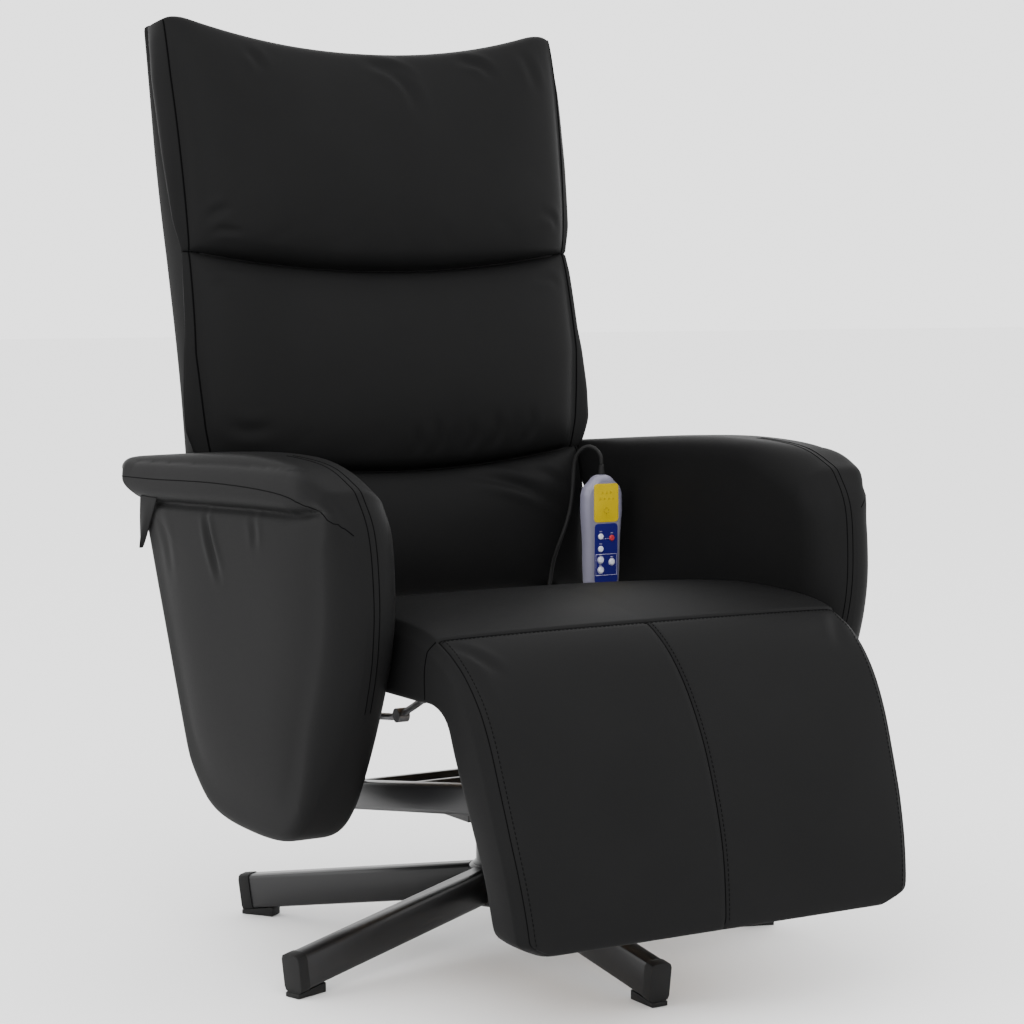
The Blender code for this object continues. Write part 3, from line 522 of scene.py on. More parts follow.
def slab(name, across, along, levels):
    """A closed slab of quads. Its points carry their place in it: across, along and down through it."""
    deselect()
    bpy.ops.mesh.primitive_grid_add(x_subdivisions=len(across) - 1, y_subdivisions=len(along) - 1, size=2)
    obj = bpy.context.object
    obj.name = obj.data.name = name
    bpy.ops.object.mode_set(mode="EDIT")
    bpy.ops.mesh.select_all(action="SELECT")
    for _ in levels[1:]:
        bpy.ops.mesh.extrude_region_move(TRANSFORM_OT_translate={"value": (0, 0, -1)})
    bpy.ops.mesh.select_all(action="SELECT")
    bpy.ops.mesh.normals_make_consistent(inside=False)
    bpy.ops.object.mode_set(mode="OBJECT")
    grid = points_of(obj)
    columns = np.rint((grid[:, 0] + 1) / 2 * (len(across) - 1)).astype(int)
    rows = np.rint((grid[:, 1] + 1) / 2 * (len(along) - 1)).astype(int)
    depths = np.rint(-grid[:, 2]).astype(int)
    places = np.stack([np.asarray(across)[columns], np.asarray(along)[rows], np.asarray(levels)[depths]], -1)
    write_places(obj, places)
    return obj, places


def write_places(obj, places):
    kept = obj.data.attributes.get("place") or obj.data.attributes.new("place", "FLOAT_VECTOR", "POINT")
    kept.data.foreach_set("vector", places.astype(np.float32).ravel())


def places_of(obj):
    places = np.empty(len(obj.data.vertices) * 3, np.float32)
    obj.data.attributes["place"].data.foreach_get("vector", places)
    return places.reshape(-1, 3).astype(float)


def swell(obj, hold, reach, pressure=4.0, stiffness=12.0):
    """Fill a cushion: a short cloth simulation under pressure, capped so that it keeps its form.
    hold is 1 where a point is sewn down and 0 where it is free."""
    rest = points_of(obj)
    trial = bpy.data.objects.new(obj.name + "_trial", obj.data.copy())
    bpy.context.scene.collection.objects.link(trial)
    group = trial.vertex_groups.new(name="sewn")
    for level in range(11):
        chosen = np.flatnonzero(np.rint(hold * 10) == level)
        if len(chosen):
            group.add(chosen.tolist(), level / 10, "REPLACE")
    cloth = trial.modifiers.new("filling", "CLOTH")
    cloth.settings.quality = 4
    cloth.settings.mass = 0.35
    cloth.settings.tension_stiffness = cloth.settings.compression_stiffness = stiffness
    cloth.settings.shear_stiffness = stiffness / 2
    cloth.settings.bending_stiffness = 0.6
    cloth.settings.use_pressure = True
    cloth.settings.uniform_pressure_force = pressure
    cloth.settings.vertex_group_mass = "sewn"
    cloth.settings.effector_weights.gravity = 0
    scene = bpy.context.scene
    for step in range(1, 21):
        scene.frame_set(step)
    filled = points_of(trial.evaluated_get(bpy.context.evaluated_depsgraph_get()))
    scene.frame_set(1)
    bpy.data.objects.remove(trial, do_unlink=True)
    push = filled - rest
    far = np.linalg.norm(push, axis=1)[:, None]
    move_points(obj, rest + push * np.tanh(far / reach) * reach / np.maximum(far, 1e-9))


def creases(obj, lines):
    """Press creases into a fine mesh. Each is (points, width, depth): a valley with a low ridge beside it."""
    points, normals = points_of(obj), normals_of(obj)
    total = np.zeros(len(points))
    for line, width, depth in lines:
        line = through(line, 24)
        near = np.full(len(points), np.inf)
        share = np.zeros(len(points))
        for k, (start, end) in enumerate(zip(line, line[1:])):
            run = end - start
            t = np.clip((points - start) @ run / (run @ run), 0, 1)
            away = np.linalg.norm(points - start - t[:, None] * run, axis=1)
            closer = away < near
            near[closer], share[closer] = away[closer], ((k + t) / (len(line) - 1))[closer]
        taper = np.sin(np.pi * np.clip(share, 0.02, 0.98)) ** 0.7
        ridge = 0.45 * np.exp(-((near - 2.1 * width) / width) ** 2)
        total += taper * depth * (ridge - np.exp(-(near / width) ** 2))
    move_points(obj, points + normals * total[:, None])


def tubes(name, lines, radius, sides=6):
    """Round cords along lines, as one mesh with closed ends."""
    made = bmesh.new()
    for line in lines:
        line = np.asarray(line, float)
        along = np.gradient(line, axis=0)
        along /= np.linalg.norm(along, axis=1)[:, None]
        side = np.cross(along, (0.31, 0.52, 0.79))
        side /= np.linalg.norm(side, axis=1)[:, None]
        other = np.cross(along, side)
        turns = 2 * np.pi * np.arange(sides) / sides
        rings = [
            [made.verts.new(p + radius * (math.cos(t) * s + math.sin(t) * o)) for t in turns]
            for p, s, o in zip(line, side, other)
        ]
        for low, high in zip(rings, rings[1:]):
            for k in range(sides):
                made.faces.new((low[k - 1], low[k], high[k], high[k - 1]))
        made.faces.new(rings[0])
        made.faces.new(rings[-1][::-1])
    bmesh.ops.recalc_face_normals(made, faces=made.faces)
    mesh = bpy.data.meshes.new(name)
    made.to_mesh(mesh)
    made.free()
    obj = bpy.data.objects.new(name, mesh)
    bpy.context.scene.collection.objects.link(obj)
    return obj


class Surface:
    """A finished skin that seams are laid on"""

    def __init__(self, obj):
        self.points = points_of(obj)
        faces = [tuple(face.vertices) for face in obj.data.polygons]
        self.tree = BVHTree.FromPolygons([tuple(p) for p in self.points], faces)

    def lay(self, line, raised=0.0):
        """Each point of a line moved to the skin, and raised from it."""
        found = []
        for point in line:
            place, normal, _, _ = self.tree.find_nearest(Vector(point))
            found.append(np.array(place + normal * raised))
        return np.array(found)


def stitches(name, lines, surface):
    """A row of stitches along each line: slim beads of thread, sunk a little into the skin."""
    length, pitch, thick = sizes().stitch, sizes().stitch_pitch, sizes().thread
    rows = []
    for line in lines:
        steps = run_of(line)
        for start in np.arange(pitch / 2, steps[-1] - length, pitch):
            spot = sample(np.asarray(line), steps, start + length * np.array([0.0, 0.15, 0.5, 0.85, 1.0]))
            laid = surface.lay(spot, 0.0)
            rise = surface.lay(spot, 1.0) - laid
            rows.append(laid + rise * thick * np.array([-0.6, 0.10, 0.32, 0.10, -0.6])[:, None])
    return tubes(name, rows, thick / 2, 5)


def place_lines(obj, column, value, low, high, order=1):
    """The skin's own points on one line of a slab's face: where one number of their place has a value."""
    places, points = places_of(obj), points_of(obj)
    on = (np.abs(places[:, column] - value) < 1e-4) & (np.abs(places[:, 2]) < 1e-4)
    on &= (places[:, order] >= low) & (places[:, order] <= high)
    chosen = np.flatnonzero(on)
    return points[chosen[np.argsort(places[chosen, order])]]


# The backrest's upholstery

# Across, up from the hinge along the back, and in front of the hinge line
RIM_FRONT = -0.007  # where the front covers meet the side panels
RIM_REAR = RIM_FRONT - 0.003  # where the side panels meet the rear cover, below the head cushion
BOARD_FRONT = in_back(points_of(frame["nodes"]["back_board"]))[2].max()
BACK_TOP_UP = in_back(points_of(frame["nodes"]["back_shell"]))[1].max()
SEAM_SAG = 0.024
SEAM_HEAD_UP = 0.440
SEAM_LUMBAR_UP = 0.195
LUMBAR_LOW_UP = 0.013
EAR_SAG = 0.040
MOTOR_POCKET = 0.0150
MOTOR_SPOTS = [in_back(np.array([JOINTS[name]["pos_m"]]))[1][0]
               for name in ("lumbar_weight_spin", "upper_weight_spin")]


def rounded(share, power):
    """A dome from 1 in the middle to 0 at either end, flatter with a higher power."""
    return np.sqrt(np.clip(1 - np.abs(share) ** power, 0, 1))


def seam_line(x, ends, sag):
    """Height of a cross seam: it hangs a little between its ends."""
    return ends - sag * (1 - (x / BACK_HALF) ** 2)


def top_line(x):
    """The concave top edge, between two raised corners."""
    share = np.abs(x) / BACK_HALF
    rise = 0.009 - EAR_SAG * (1 - np.clip(share, 0, 1) ** 2.1)
    return BACK_TOP_UP + rise - 0.016 * np.clip((share - 0.90) / 0.16, 0, 1) ** 2


def high_side(up):
    """How much wider the upper part of the rear is than the part between the arms."""
    return 0.0070 * smooth(up, 0.26, 0.58)


def gusset_depth(up):
    """How far back the rear seam of the head cushion's side panel is."""
    share = np.clip((up - SEAM_HEAD_UP) / (BACK_TOP_UP - SEAM_HEAD_UP), 0, 1)
    return RIM_REAR - 0.049 * share**0.9


def straight_rim(up):
    """The same seam on the cushions below it, which runs straight."""
    return np.full_like(up, RIM_REAR)


def rear_of_cushion(x, up, rim):
    """The hidden rear face: against the board, with a pocket for each motor, and at the rim round it."""
    inside = smooth(-np.abs(x), -0.2465, -0.2400) * smooth(-up, -0.687, -0.676)
    depth = rim + (BOARD_FRONT + 0.0005 - rim) * inside
    for spot in MOTOR_SPOTS:
        depth += MOTOR_POCKET * smooth(-np.hypot(x, up - spot), -0.038, -0.031)
    return depth


def back_cushion(name, low, high, half, bulge, crown, peak, rear_rim, rows, depths):
    """A crowned cushion of the backrest, between two cross seams, with side panels that bulge.
    low, high and rear_rim are its edges, half its half width, bulge that of its side panels, crown its
    height and peak how far up it is fullest."""
    obj, place = slab(name, stations(66), stations(rows), np.linspace(0, 1, depths + 1))
    a, b, c = place.T
    a, b = np.sin(1.22 * a) / math.sin(1.22), np.sin(1.15 * b) / math.sin(1.15)
    x = half((b + 1) / 2) * a
    up = low(x) + (high(x) - low(x)) * (b + 1) / 2
    swollen = crown * rounded(a, 5.0) * rounded(b + peak * (1 - b * b), 3.2)
    share = (b + 1) / 2
    raised = 0.012 * np.sin(np.pi * np.clip(share, 0, 1)) ** 0.6  # the least that the sides stand up
    front = RIM_FRONT - 0.006 * smooth(up, SEAM_HEAD_UP, BACK_TOP_UP) + np.maximum(swollen, raised)
    rear = rear_rim(up)
    side = np.maximum(np.abs(place[:, 0]), np.abs(place[:, 1])) > 0.999
    rear = np.where(side, rear, rear_of_cushion(x, up, rear))
    bow = bulge(share) * np.sin(np.pi * c) ** 0.8 * (np.abs(place[:, 0]) > 0.999) * np.sign(a)
    edge = np.sign(a) * smooth(np.abs(place[:, 0]), 0.86, 1.0)
    x += edge * (BACK_HALF + 0.001 + high_side(up) - half(share)) * c**1.3
    move_points(obj, on_back(x + bow, up, front + (rear - front) * c))
    hold = np.where(c > 0, 1.0, smooth(np.maximum(np.abs(a), np.abs(b)), 0.80, 0.985))
    swell(obj, hold, sizes().swell)
    subdivide(obj)
    return settle(obj, "backrest", "leather", name.replace("_leather", ""))


def between(share, stops):
    """A size between its stops, by a share."""
    shares, found = zip(*stops)
    return np.interp(share, shares, found)


def fold_lines(obj, folds):
    """Creases in the backrest's frame: each is its points (x, up), its width and its depth."""
    skin = Surface(obj)
    creases(obj, [(skin.lay(on_back(*np.array(line).T, 0.03)), wide, deep) for line, wide, deep in folds])


# From the lower to the upper seam of a cushion, as (share of its height, size): how much wider than the
# lower back its front face is, and how far its side panels bulge
HEAD_EDGE = ((0, -0.002), (0.25, 0.001), (0.75, 0.006), (1, 0.007))
MIDDLE_EDGE = ((0, -0.014), (0.15, -0.008), (0.5, 0.001), (1, -0.002))
SIDE_OF_HEAD = ((0, 0.004), (0.12, 0.0115), (0.4, 0.0135), (0.75, 0.0130), (0.92, 0.0080), (1, 0.0030))
SIDE_OF_MIDDLE = ((0, 0.014), (0.06, 0.021), (0.14, 0.0275), (0.3, 0.0250), (0.6, 0.0125), (0.9, 0.0080),
                  (1, 0.004))
# Creases, each as its points (across, up), its width and its depth
HEAD_FOLDS = [
    ([(-0.170, 0.690), (-0.163, 0.676), (-0.158, 0.655)], 0.006, 0.0022),
    ([(-0.010, 0.686), (0.020, 0.668), (0.037, 0.640), (0.042, 0.606)], 0.007, 0.0036),
    ([(0.012, 0.688), (0.036, 0.672), (0.050, 0.648)], 0.005, 0.0020),
    ([(0.118, 0.693), (0.146, 0.684), (0.160, 0.662)], 0.006, 0.0030),
    ([(0.212, 0.706), (0.222, 0.680), (0.226, 0.645)], 0.007, 0.0018),
    ([(-0.250, 0.470), (-0.236, 0.480), (-0.215, 0.486)], 0.005, 0.0024),
    ([(-0.246, 0.452), (-0.228, 0.457), (-0.200, 0.456)], 0.004, 0.0018),
    ([(0.246, 0.468), (0.230, 0.480), (0.208, 0.484)], 0.005, 0.0020),
]
MIDDLE_FOLDS = [
    ([(0.010, 0.184), (0.012, 0.200), (0.008, 0.222)], 0.005, 0.0018),
    ([(0.038, 0.184), (0.041, 0.204), (0.036, 0.230)], 0.005, 0.0022),
    ([(0.085, 0.186), (0.090, 0.206), (0.086, 0.226)], 0.005, 0.0020),
    ([(0.118, 0.188), (0.124, 0.212), (0.120, 0.236)], 0.006, 0.0020),
    ([(0.165, 0.190), (0.174, 0.214), (0.172, 0.240)], 0.006, 0.0016),
    ([(-0.246, 0.396), (-0.226, 0.404), (-0.196, 0.400)], 0.006, 0.0016),
    ([(-0.240, 0.230), (-0.214, 0.222), (-0.180, 0.226)], 0.007, 0.0018),
    ([(0.246, 0.400), (0.228, 0.410), (0.200, 0.408)], 0.006, 0.0014),
]
LUMBAR_FOLDS = [
    ([(0.080, 0.168), (0.130, 0.156), (0.176, 0.136)], 0.007, 0.0036),
    ([(0.115, 0.158), (0.160, 0.142), (0.200, 0.118)], 0.006, 0.0030),
    ([(0.170, 0.176), (0.200, 0.160), (0.226, 0.138)], 0.006, 0.0022),
    ([(-0.226, 0.150), (-0.190, 0.154), (-0.150, 0.148)], 0.007, 0.0020),
]


class CHAIR_OT_back_cushions(bpy.types.Operator):
    """Head, middle and lumbar cushions, sewn together at two cross seams"""
    bl_idname = "chair.back_cushions"
    bl_label = "Back cushions"

    def execute(self, context):
        crowns = sizes()
        gap = 0.0003
        head = back_cushion(
            "head_cushion_leather", lambda x: seam_line(x, SEAM_HEAD_UP, SEAM_SAG) + gap, top_line,
            lambda share: BACK_HALF + between(share, HEAD_EDGE), lambda share: between(share, SIDE_OF_HEAD),
            crowns.head_crown, 0.30, gusset_depth, 40, 6)
        fold_lines(head, HEAD_FOLDS)
        middle = back_cushion(
            "middle_cushion_leather", lambda x: seam_line(x, SEAM_LUMBAR_UP, SEAM_SAG) + gap,
            lambda x: seam_line(x, SEAM_HEAD_UP, SEAM_SAG) - gap,
            lambda share: BACK_HALF + between(share, MIDDLE_EDGE),
            lambda share: between(share, SIDE_OF_MIDDLE),
            crowns.middle_crown, 0.18, straight_rim, 36, 3)
        fold_lines(middle, MIDDLE_FOLDS)
        lumbar = back_cushion(
            "lumbar_cushion_leather", lambda x: np.full_like(x, LUMBAR_LOW_UP),
            lambda x: seam_line(x, SEAM_LUMBAR_UP, SEAM_SAG) - gap,
            lambda share: np.full_like(share, BACK_HALF - 0.004), lambda share: np.full_like(share, 0.003),
            crowns.lumbar_crown, -0.12, straight_rim, 26, 3)
        fold_lines(lumbar, LUMBAR_FOLDS)
        self.seams((head, middle, lumbar))
        return {"FINISHED"}

    def seams(self, cushions):
        """Dark cords on the seams beside the front covers, as painted shadow in them, and the leather tucked into
        those across and behind the top.
        """
        edges = [place_lines(obj, 0, side, -1, 1) for obj in cushions for side in (-1, 1)]
        # Painted shadow: these cords sit on the real seam lines, and their dark thread colour stands for the shade
        # in the seams.
        settle(tubes("back_front_seams", edges, 0.0010, 6), "backrest", "leather", material="thread")
        x = np.linspace(-BACK_HALF + 0.016, BACK_HALF - 0.016, 80)
        tucked = [on_back(x, seam_line(x, up, SEAM_SAG), RIM_FRONT - 0.0020)
                  for up in (SEAM_HEAD_UP, SEAM_LUMBAR_UP)]
        top = top_line(x) - 0.0042
        tucked.append(on_back(x, top, gusset_depth(top) - 0.0010))
        settle(tubes("back_cross_seams", tucked, 0.0028, 8), "backrest", "leather", angle=40)


class CHAIR_OT_back_cover(bpy.types.Operator):
    """The cover behind the backrest, with its piped edges and its zip"""
    bl_idname = "chair.back_cover"
    bl_label = "Rear cover"

    def execute(self, context):
        obj, place = slab("rear_cover_leather", stations(56), stations(72), np.linspace(0, 1, 9))
        a, b, c = place.T
        x = (BACK_HALF - 0.0005) * np.sin(1.3 * a) / math.sin(1.3)
        high = top_line(x) - 0.001
        up = 0.002 + (high - 0.002) * (b + 1) / 2
        x *= 1 + high_side(up) / BACK_HALF
        rim_front = np.where(up > SEAM_HEAD_UP, gusset_depth(up), RIM_REAR) - 0.0012
        edge = np.sqrt(np.clip(1 - np.maximum(np.abs(a), np.abs(b)) ** 7, 0, 1))
        rear_flat = -0.0600 - 0.0100 * smooth(up, 0.20, 0.60) - 0.0075 * edge
        rear_flat -= 0.002 * rounded(a, 2.5) * rounded(b, 2.5)
        front = rim_front + (rear_flat - rim_front) * c
        bow = 0.0022 * np.sin(np.pi * c) * (np.abs(place[:, 0]) > 0.999) * np.sign(a)
        shrink = 1 - 0.018 * np.clip((c - 0.86) / 0.14, 0, 1) ** 2
        move_points(obj, on_back((x + bow) * shrink, up, front))
        activate(obj)
        bpy.ops.object.mode_set(mode="EDIT")
        bpy.ops.mesh.select_all(action="DESELECT")
        bpy.ops.object.mode_set(mode="OBJECT")
        for face in obj.data.polygons:
            corners = place[list(face.vertices)]
            under = (np.abs(corners[:, 1] + 1) < 1e-6).all()
            face.select = bool((corners[:, 2] < 1e-6).all() or under)
        bpy.ops.object.mode_set(mode="EDIT")
        bpy.ops.mesh.delete(type="FACE")
        bpy.ops.object.mode_set(mode="OBJECT")
        subdivide(obj)
        wall = obj.modifiers.new("wall", "SOLIDIFY")
        wall.thickness, wall.offset = 0.0025, -1
        apply_modifiers(obj)
        settle(obj, "backrest", "leather", "back_shell")
        self.piping(obj)
        self.fastener()
        return {"FINISHED"}

    def piping(self, obj):
        """A thin cord of leather in the seams between the side panels and the front and rear covers."""
        ups = np.linspace(0.010, BACK_TOP_UP - 0.020, 90)
        front_rim = np.where(ups > SEAM_HEAD_UP, gusset_depth(ups), RIM_REAR) - 0.0010
        lines = []
        for side in (-1, 1):
            half = BACK_HALF + high_side(ups)
            lines.append(on_back(side * (half + 0.0004), ups, front_rim))
            lines.append(on_back(side * (half - 0.0045), ups, -0.0618 - 0.0100 * smooth(ups, 0.20, 0.60)))
        across = np.linspace(-BACK_HALF + 0.008, BACK_HALF - 0.008, 90)
        lines.append(on_back(across, top_line(across) - 0.0035, -0.0732))
        skin = Surface(obj)
        cords = tubes("rear_cover_piping", [skin.lay(line, 0.0003) for line in lines], 0.0014, 8)
        settle(cords, "backrest", "leather")

    def fastener(self):
        """A zip low on the rear cover: its teeth on a tape."""
        rear = -0.0702
        teeth = [on_back(at, np.array([0.0435, 0.0465]), rear) for at in np.linspace(-0.150, 0.150, 121)]
        settle(tubes("zip_teeth", teeth, 0.0007, 5), "backrest", "black_plastic", angle=30)
        deselect()
        bpy.ops.mesh.primitive_cube_add(size=1)
        tape = bpy.context.object
        tape.name = "zip_tape"
        bpy.ops.object.mode_set(mode="EDIT")
        bpy.ops.mesh.subdivide(number_cuts=6)
        bpy.ops.object.mode_set(mode="OBJECT")
        u, v, w = points_of(tape).T
        move_points(tape, on_back(u * 0.312, 0.045 + v * 0.022, rear + 0.0012 + w * 0.0012))
        face_out(tape)
        settle(tape, "backrest", "black_plastic", material="felt", angle=30)


# The arms

def arm_outline(p):
    """The arm's outline in the side view, by a number that runs 0 to 4 round it from the bottom rear.
    Its lower corners are eased, so that the four parts meet without a kink."""
    rows = [through(part, 60) for part in (ARM_REAR, ARM_TOP, ARM_FRONT, ARM_BOTTOM)]
    line = np.vstack([row[:-1] for row in rows] + [rows[0][:1]])
    steps = np.r_[np.concatenate([np.arange(len(row) - 1) / (len(row) - 1) + k
                                  for k, row in enumerate(rows)]), 4]
    low = smooth(-line[:, 1], -0.330, -0.280)[:-1, None]
    for _ in range(10):
        ring = line[:-1]
        eased = (np.roll(ring, 1, axis=0) + 2 * ring + np.roll(ring, -1, axis=0)) / 4
        ring = ring + (eased - ring) * low
        line = np.vstack([ring, ring[:1]])
    return sample(line, steps, np.mod(p, 4))


def round_edge(c, outer, inner, thick):
    """Section through the arm's edge: how far in from the outline and how deep from the outer face."""
    quarter = math.pi / 2
    flat = thick - outer - inner
    run = c * (quarter * outer + flat + quarter * inner)
    first, second = quarter * outer, quarter * outer + flat
    turn_out = np.clip(run / outer, 0, quarter)
    turn_in = np.clip((run - second) / inner, 0, quarter)
    inset = np.where(run < first, outer * (1 - np.sin(turn_out)),
                     np.where(run > second, inner * (1 - np.cos(turn_in)), 0))
    depth = np.where(run < first, outer * (1 - np.cos(turn_out)),
                     np.where(run > second, thick - inner + inner * np.sin(turn_in), run - first + outer))
    return inset, depth


def crease_height(y):
    """How high the crease below the roll is."""
    line = np.array(ROLL_CREASE)[::-1]
    return np.interp(y, line[:, 0], line[:, 1])


def roll_push(y, z):
    """How far the outer face is pushed out under and over the crease below the roll."""
    above = z - crease_height(y)
    fade = (1 - smooth(-y, 0.185, 0.262)) * (1 - smooth(y, 0.262, 0.290))
    roll = sizes().roll_bulge * np.sqrt(np.clip(1 - ((above - 0.020) / 0.022) ** 2, 0, 1))
    tuck = -0.0060 * np.exp(-((above + 0.003) / 0.0065) ** 2)
    return (roll + tuck) * fade


def arm_points(place, side):
    """An arm's form: the outline filled from its middle, with a rounded edge and a slight crown."""
    a, b, c = place.T
    r = np.maximum(np.maximum(np.abs(a), np.abs(b)), 1e-6)
    p = np.where((a >= np.abs(b)), 0.5 + b / r / 2, 0.0)
    p = np.where((b > np.abs(a)), 1.5 - a / r / 2, p)
    p = np.where((-a >= np.abs(b)), 2.5 - b / r / 2, p)
    p = np.where((-b > np.abs(a)), 3.5 + a / r / 2, p)
    edge = arm_outline(p)
    along = arm_outline(p + 0.02) - arm_outline(p - 0.02)
    along /= np.linalg.norm(along, axis=1)[:, None]
    inward = np.stack([-along[:, 1], along[:, 0]], -1)
    slim = smooth(edge[:, 0], 0.150, 0.240)
    low_front = smooth(-edge[:, 0], 0.170, 0.235) * smooth(-edge[:, 1], -0.545, -0.490)
    outer = sizes().arm_round * (0.33 + 0.67 * low_front)
    front = smooth(-edge[:, 0], 0.090, 0.200)
    behind = smooth(edge[:, 0], 0.090, 0.150) * smooth(-edge[:, 1], -0.535, -0.510)
    inner = (0.022 + 0.016 * front) * (1 - 0.55 * slim) * (1 - behind) + 0.007 * behind
    thick = ARM_OUT - ARM_IN - 0.002
    inset, depth = round_edge(c, outer, inner, thick)
    rim = edge + inward * inset[:, None]
    middle = np.array(ARM_MIDDLE)
    flat = middle + (rim - middle) * (r**0.92)[:, None]
    line = arm_outline(np.linspace(0, 4, 161))
    away = np.min([np.hypot(*(flat - spot).T) for spot in line], axis=0)
    crown = np.where(c < 0.5, 0.0035, -0.0015) * (1 - np.exp(-((away / 0.055) ** 2)))
    x = ARM_OUT - 0.002 - depth + crown * ((c < 1e-6) | (c > 1 - 1e-6))
    return chair(np.stack([side * x, flat[:, 0], flat[:, 1]], -1))


class CHAIR_OT_arms(bpy.types.Operator):
    """Two padded arms: a side panel, a roll along the top and a band round the front"""
    bl_idname = "chair.arms"
    bl_label = "Arms"

    def execute(self, context):
        for side, name in ((1, "left"), (-1, "right")):
            self.arm(side, name)
        return {"FINISHED"}

    def arm(self, side, name):
        seam = 0.43
        levels = np.unique(np.r_[np.linspace(0, 1, 13), seam - 0.02, seam, seam + 0.02])
        obj, place = slab(f"arm_{name}_leather", stations(40), stations(40), levels)
        move_points(obj, arm_points(place, side))
        face_out(obj)
        rim = np.maximum(np.abs(place[:, 0]), np.abs(place[:, 1]))
        hold = np.where(place[:, 2] > 0.5, 1.0, np.where(place[:, 2] > 0, 0.9, smooth(rim, 0.75, 0.98)))
        swell(obj, hold, sizes().swell * 0.4, 3.0)
        subdivide(obj, 2)
        points = points_of(obj)
        outside = smooth(side * points[:, 0], ARM_OUT - 0.030, ARM_OUT - 0.012)
        push = roll_push(points[:, 1] - AXIS_Y, points[:, 2]) * outside
        move_points(obj, points + np.stack([side * push, 0 * push, 0 * push], -1))
        settle(obj, "seat", "leather", f"arm_{name}")
        skin = Surface(obj)
        out = side * ARM_OUT
        folds = [
            ([(out, 0.047, 0.512), (out, 0.030, 0.478), (out, 0.004, 0.440)], 0.0055, 0.0024),
            ([(out, -0.070, 0.518), (out, -0.080, 0.500), (out, -0.084, 0.478)], 0.006, 0.0010),
            ([(out, 0.180, 0.500), (out, 0.150, 0.470), (out, 0.135, 0.430)], 0.008, 0.0008),
        ]
        creases(obj, [(skin.lay(chair(line)), wide, deep) for line, wide, deep in folds])
        self.seams(obj, side, name)
        self.flap(side, name)

    def seams(self, obj, side, name):
        """Double stitching round the front band, and a row along the roll that runs into it."""
        skin = Surface(obj)
        band_x = side * (ARM_IN + 0.043)
        nose = [(-0.085, 0.580), (-0.160, 0.572), (-0.222, 0.553), (-0.252, 0.518), (-0.264, 0.470),
                (-0.267, 0.410), (-0.258, 0.370), (-0.240, 0.322)]
        rows = []
        for shift in (-0.0035, 0.0035):
            drift = np.linspace(0, -0.010, len(nose))
            line = chair([(band_x + side * (shift + out), y, z) for (y, z), out in zip(nose, drift)])
            rows.append(skin.lay(through(line, 160)))
        roll = [(0.288, 0.533), (0.170, 0.536), (0.020, 0.5420), (-0.110, 0.5430), (-0.185, 0.5380),
                (-0.226, 0.5250), (-0.252, 0.5050)]
        reach = [1.0, 1.0, 1.0, 1.0, 0.99, 0.96, 0.915]
        line = chair([(side * (ARM_OUT + 0.006) * share, y, z) for (y, z), share in zip(roll, reach)])
        rows.append(skin.lay(through(line, 200)))
        settle(tubes(f"arm_{name}_seams", rows, 0.00055, 6), "seat", "leather", material="thread")
        settle(stitches(f"arm_{name}_stitching", rows, skin), "seat", "leather", material="thread")

    def flap(self, side, name):
        """The loose corner of the side panel that hangs under the roll's rear end."""
        obj, place = slab(f"arm_{name}_flap", stations(8), stations(14), [0.0, 1.0])
        a, b, c = place.T
        down = (1 - b) / 2
        wide = 0.024 * (1 - down) ** 0.75 + 0.0010
        y = 0.1960 + 0.030 * down - wide * a + 0.002 * np.sin(2.4 * down)
        z = 0.5150 - 0.062 * down
        x = ARM_OUT + 0.0045 - 0.003 * down + 0.0020 * np.cos(2.6 * a) * down - 0.0014 * c
        move_points(obj, chair(np.stack([side * x, y, z], -1)))
        face_out(obj)
        subdivide(obj)
        settle(obj, "seat", "leather")


# The seat's and footrest's leather

SKIN_ROUND = 0.014  # radius of the long edges
SEAT_SEAM = 0.252 / 0.2585  # the side seams, as a share of the half width
FRONT_SEAM = (-0.301, 0.4045)
EDGE_DEPTH = 0.1429  # the rounded part of the edge, as a share of the skin's thickness


def skin_lines(count):
    """The outer and inner line of the skin, as pairs of points."""
    return through([o + i for o, i in zip(SKIN_OUTER, SKIN_INNER)], count)


def skin_share(y, z):
    """Where along the skin a point of the outer line is, from -1 to 1."""
    line = skin_lines(400)
    return 2 * np.argmin(np.hypot(line[:, 0] - y, line[:, 1] - z)) / 399 - 1


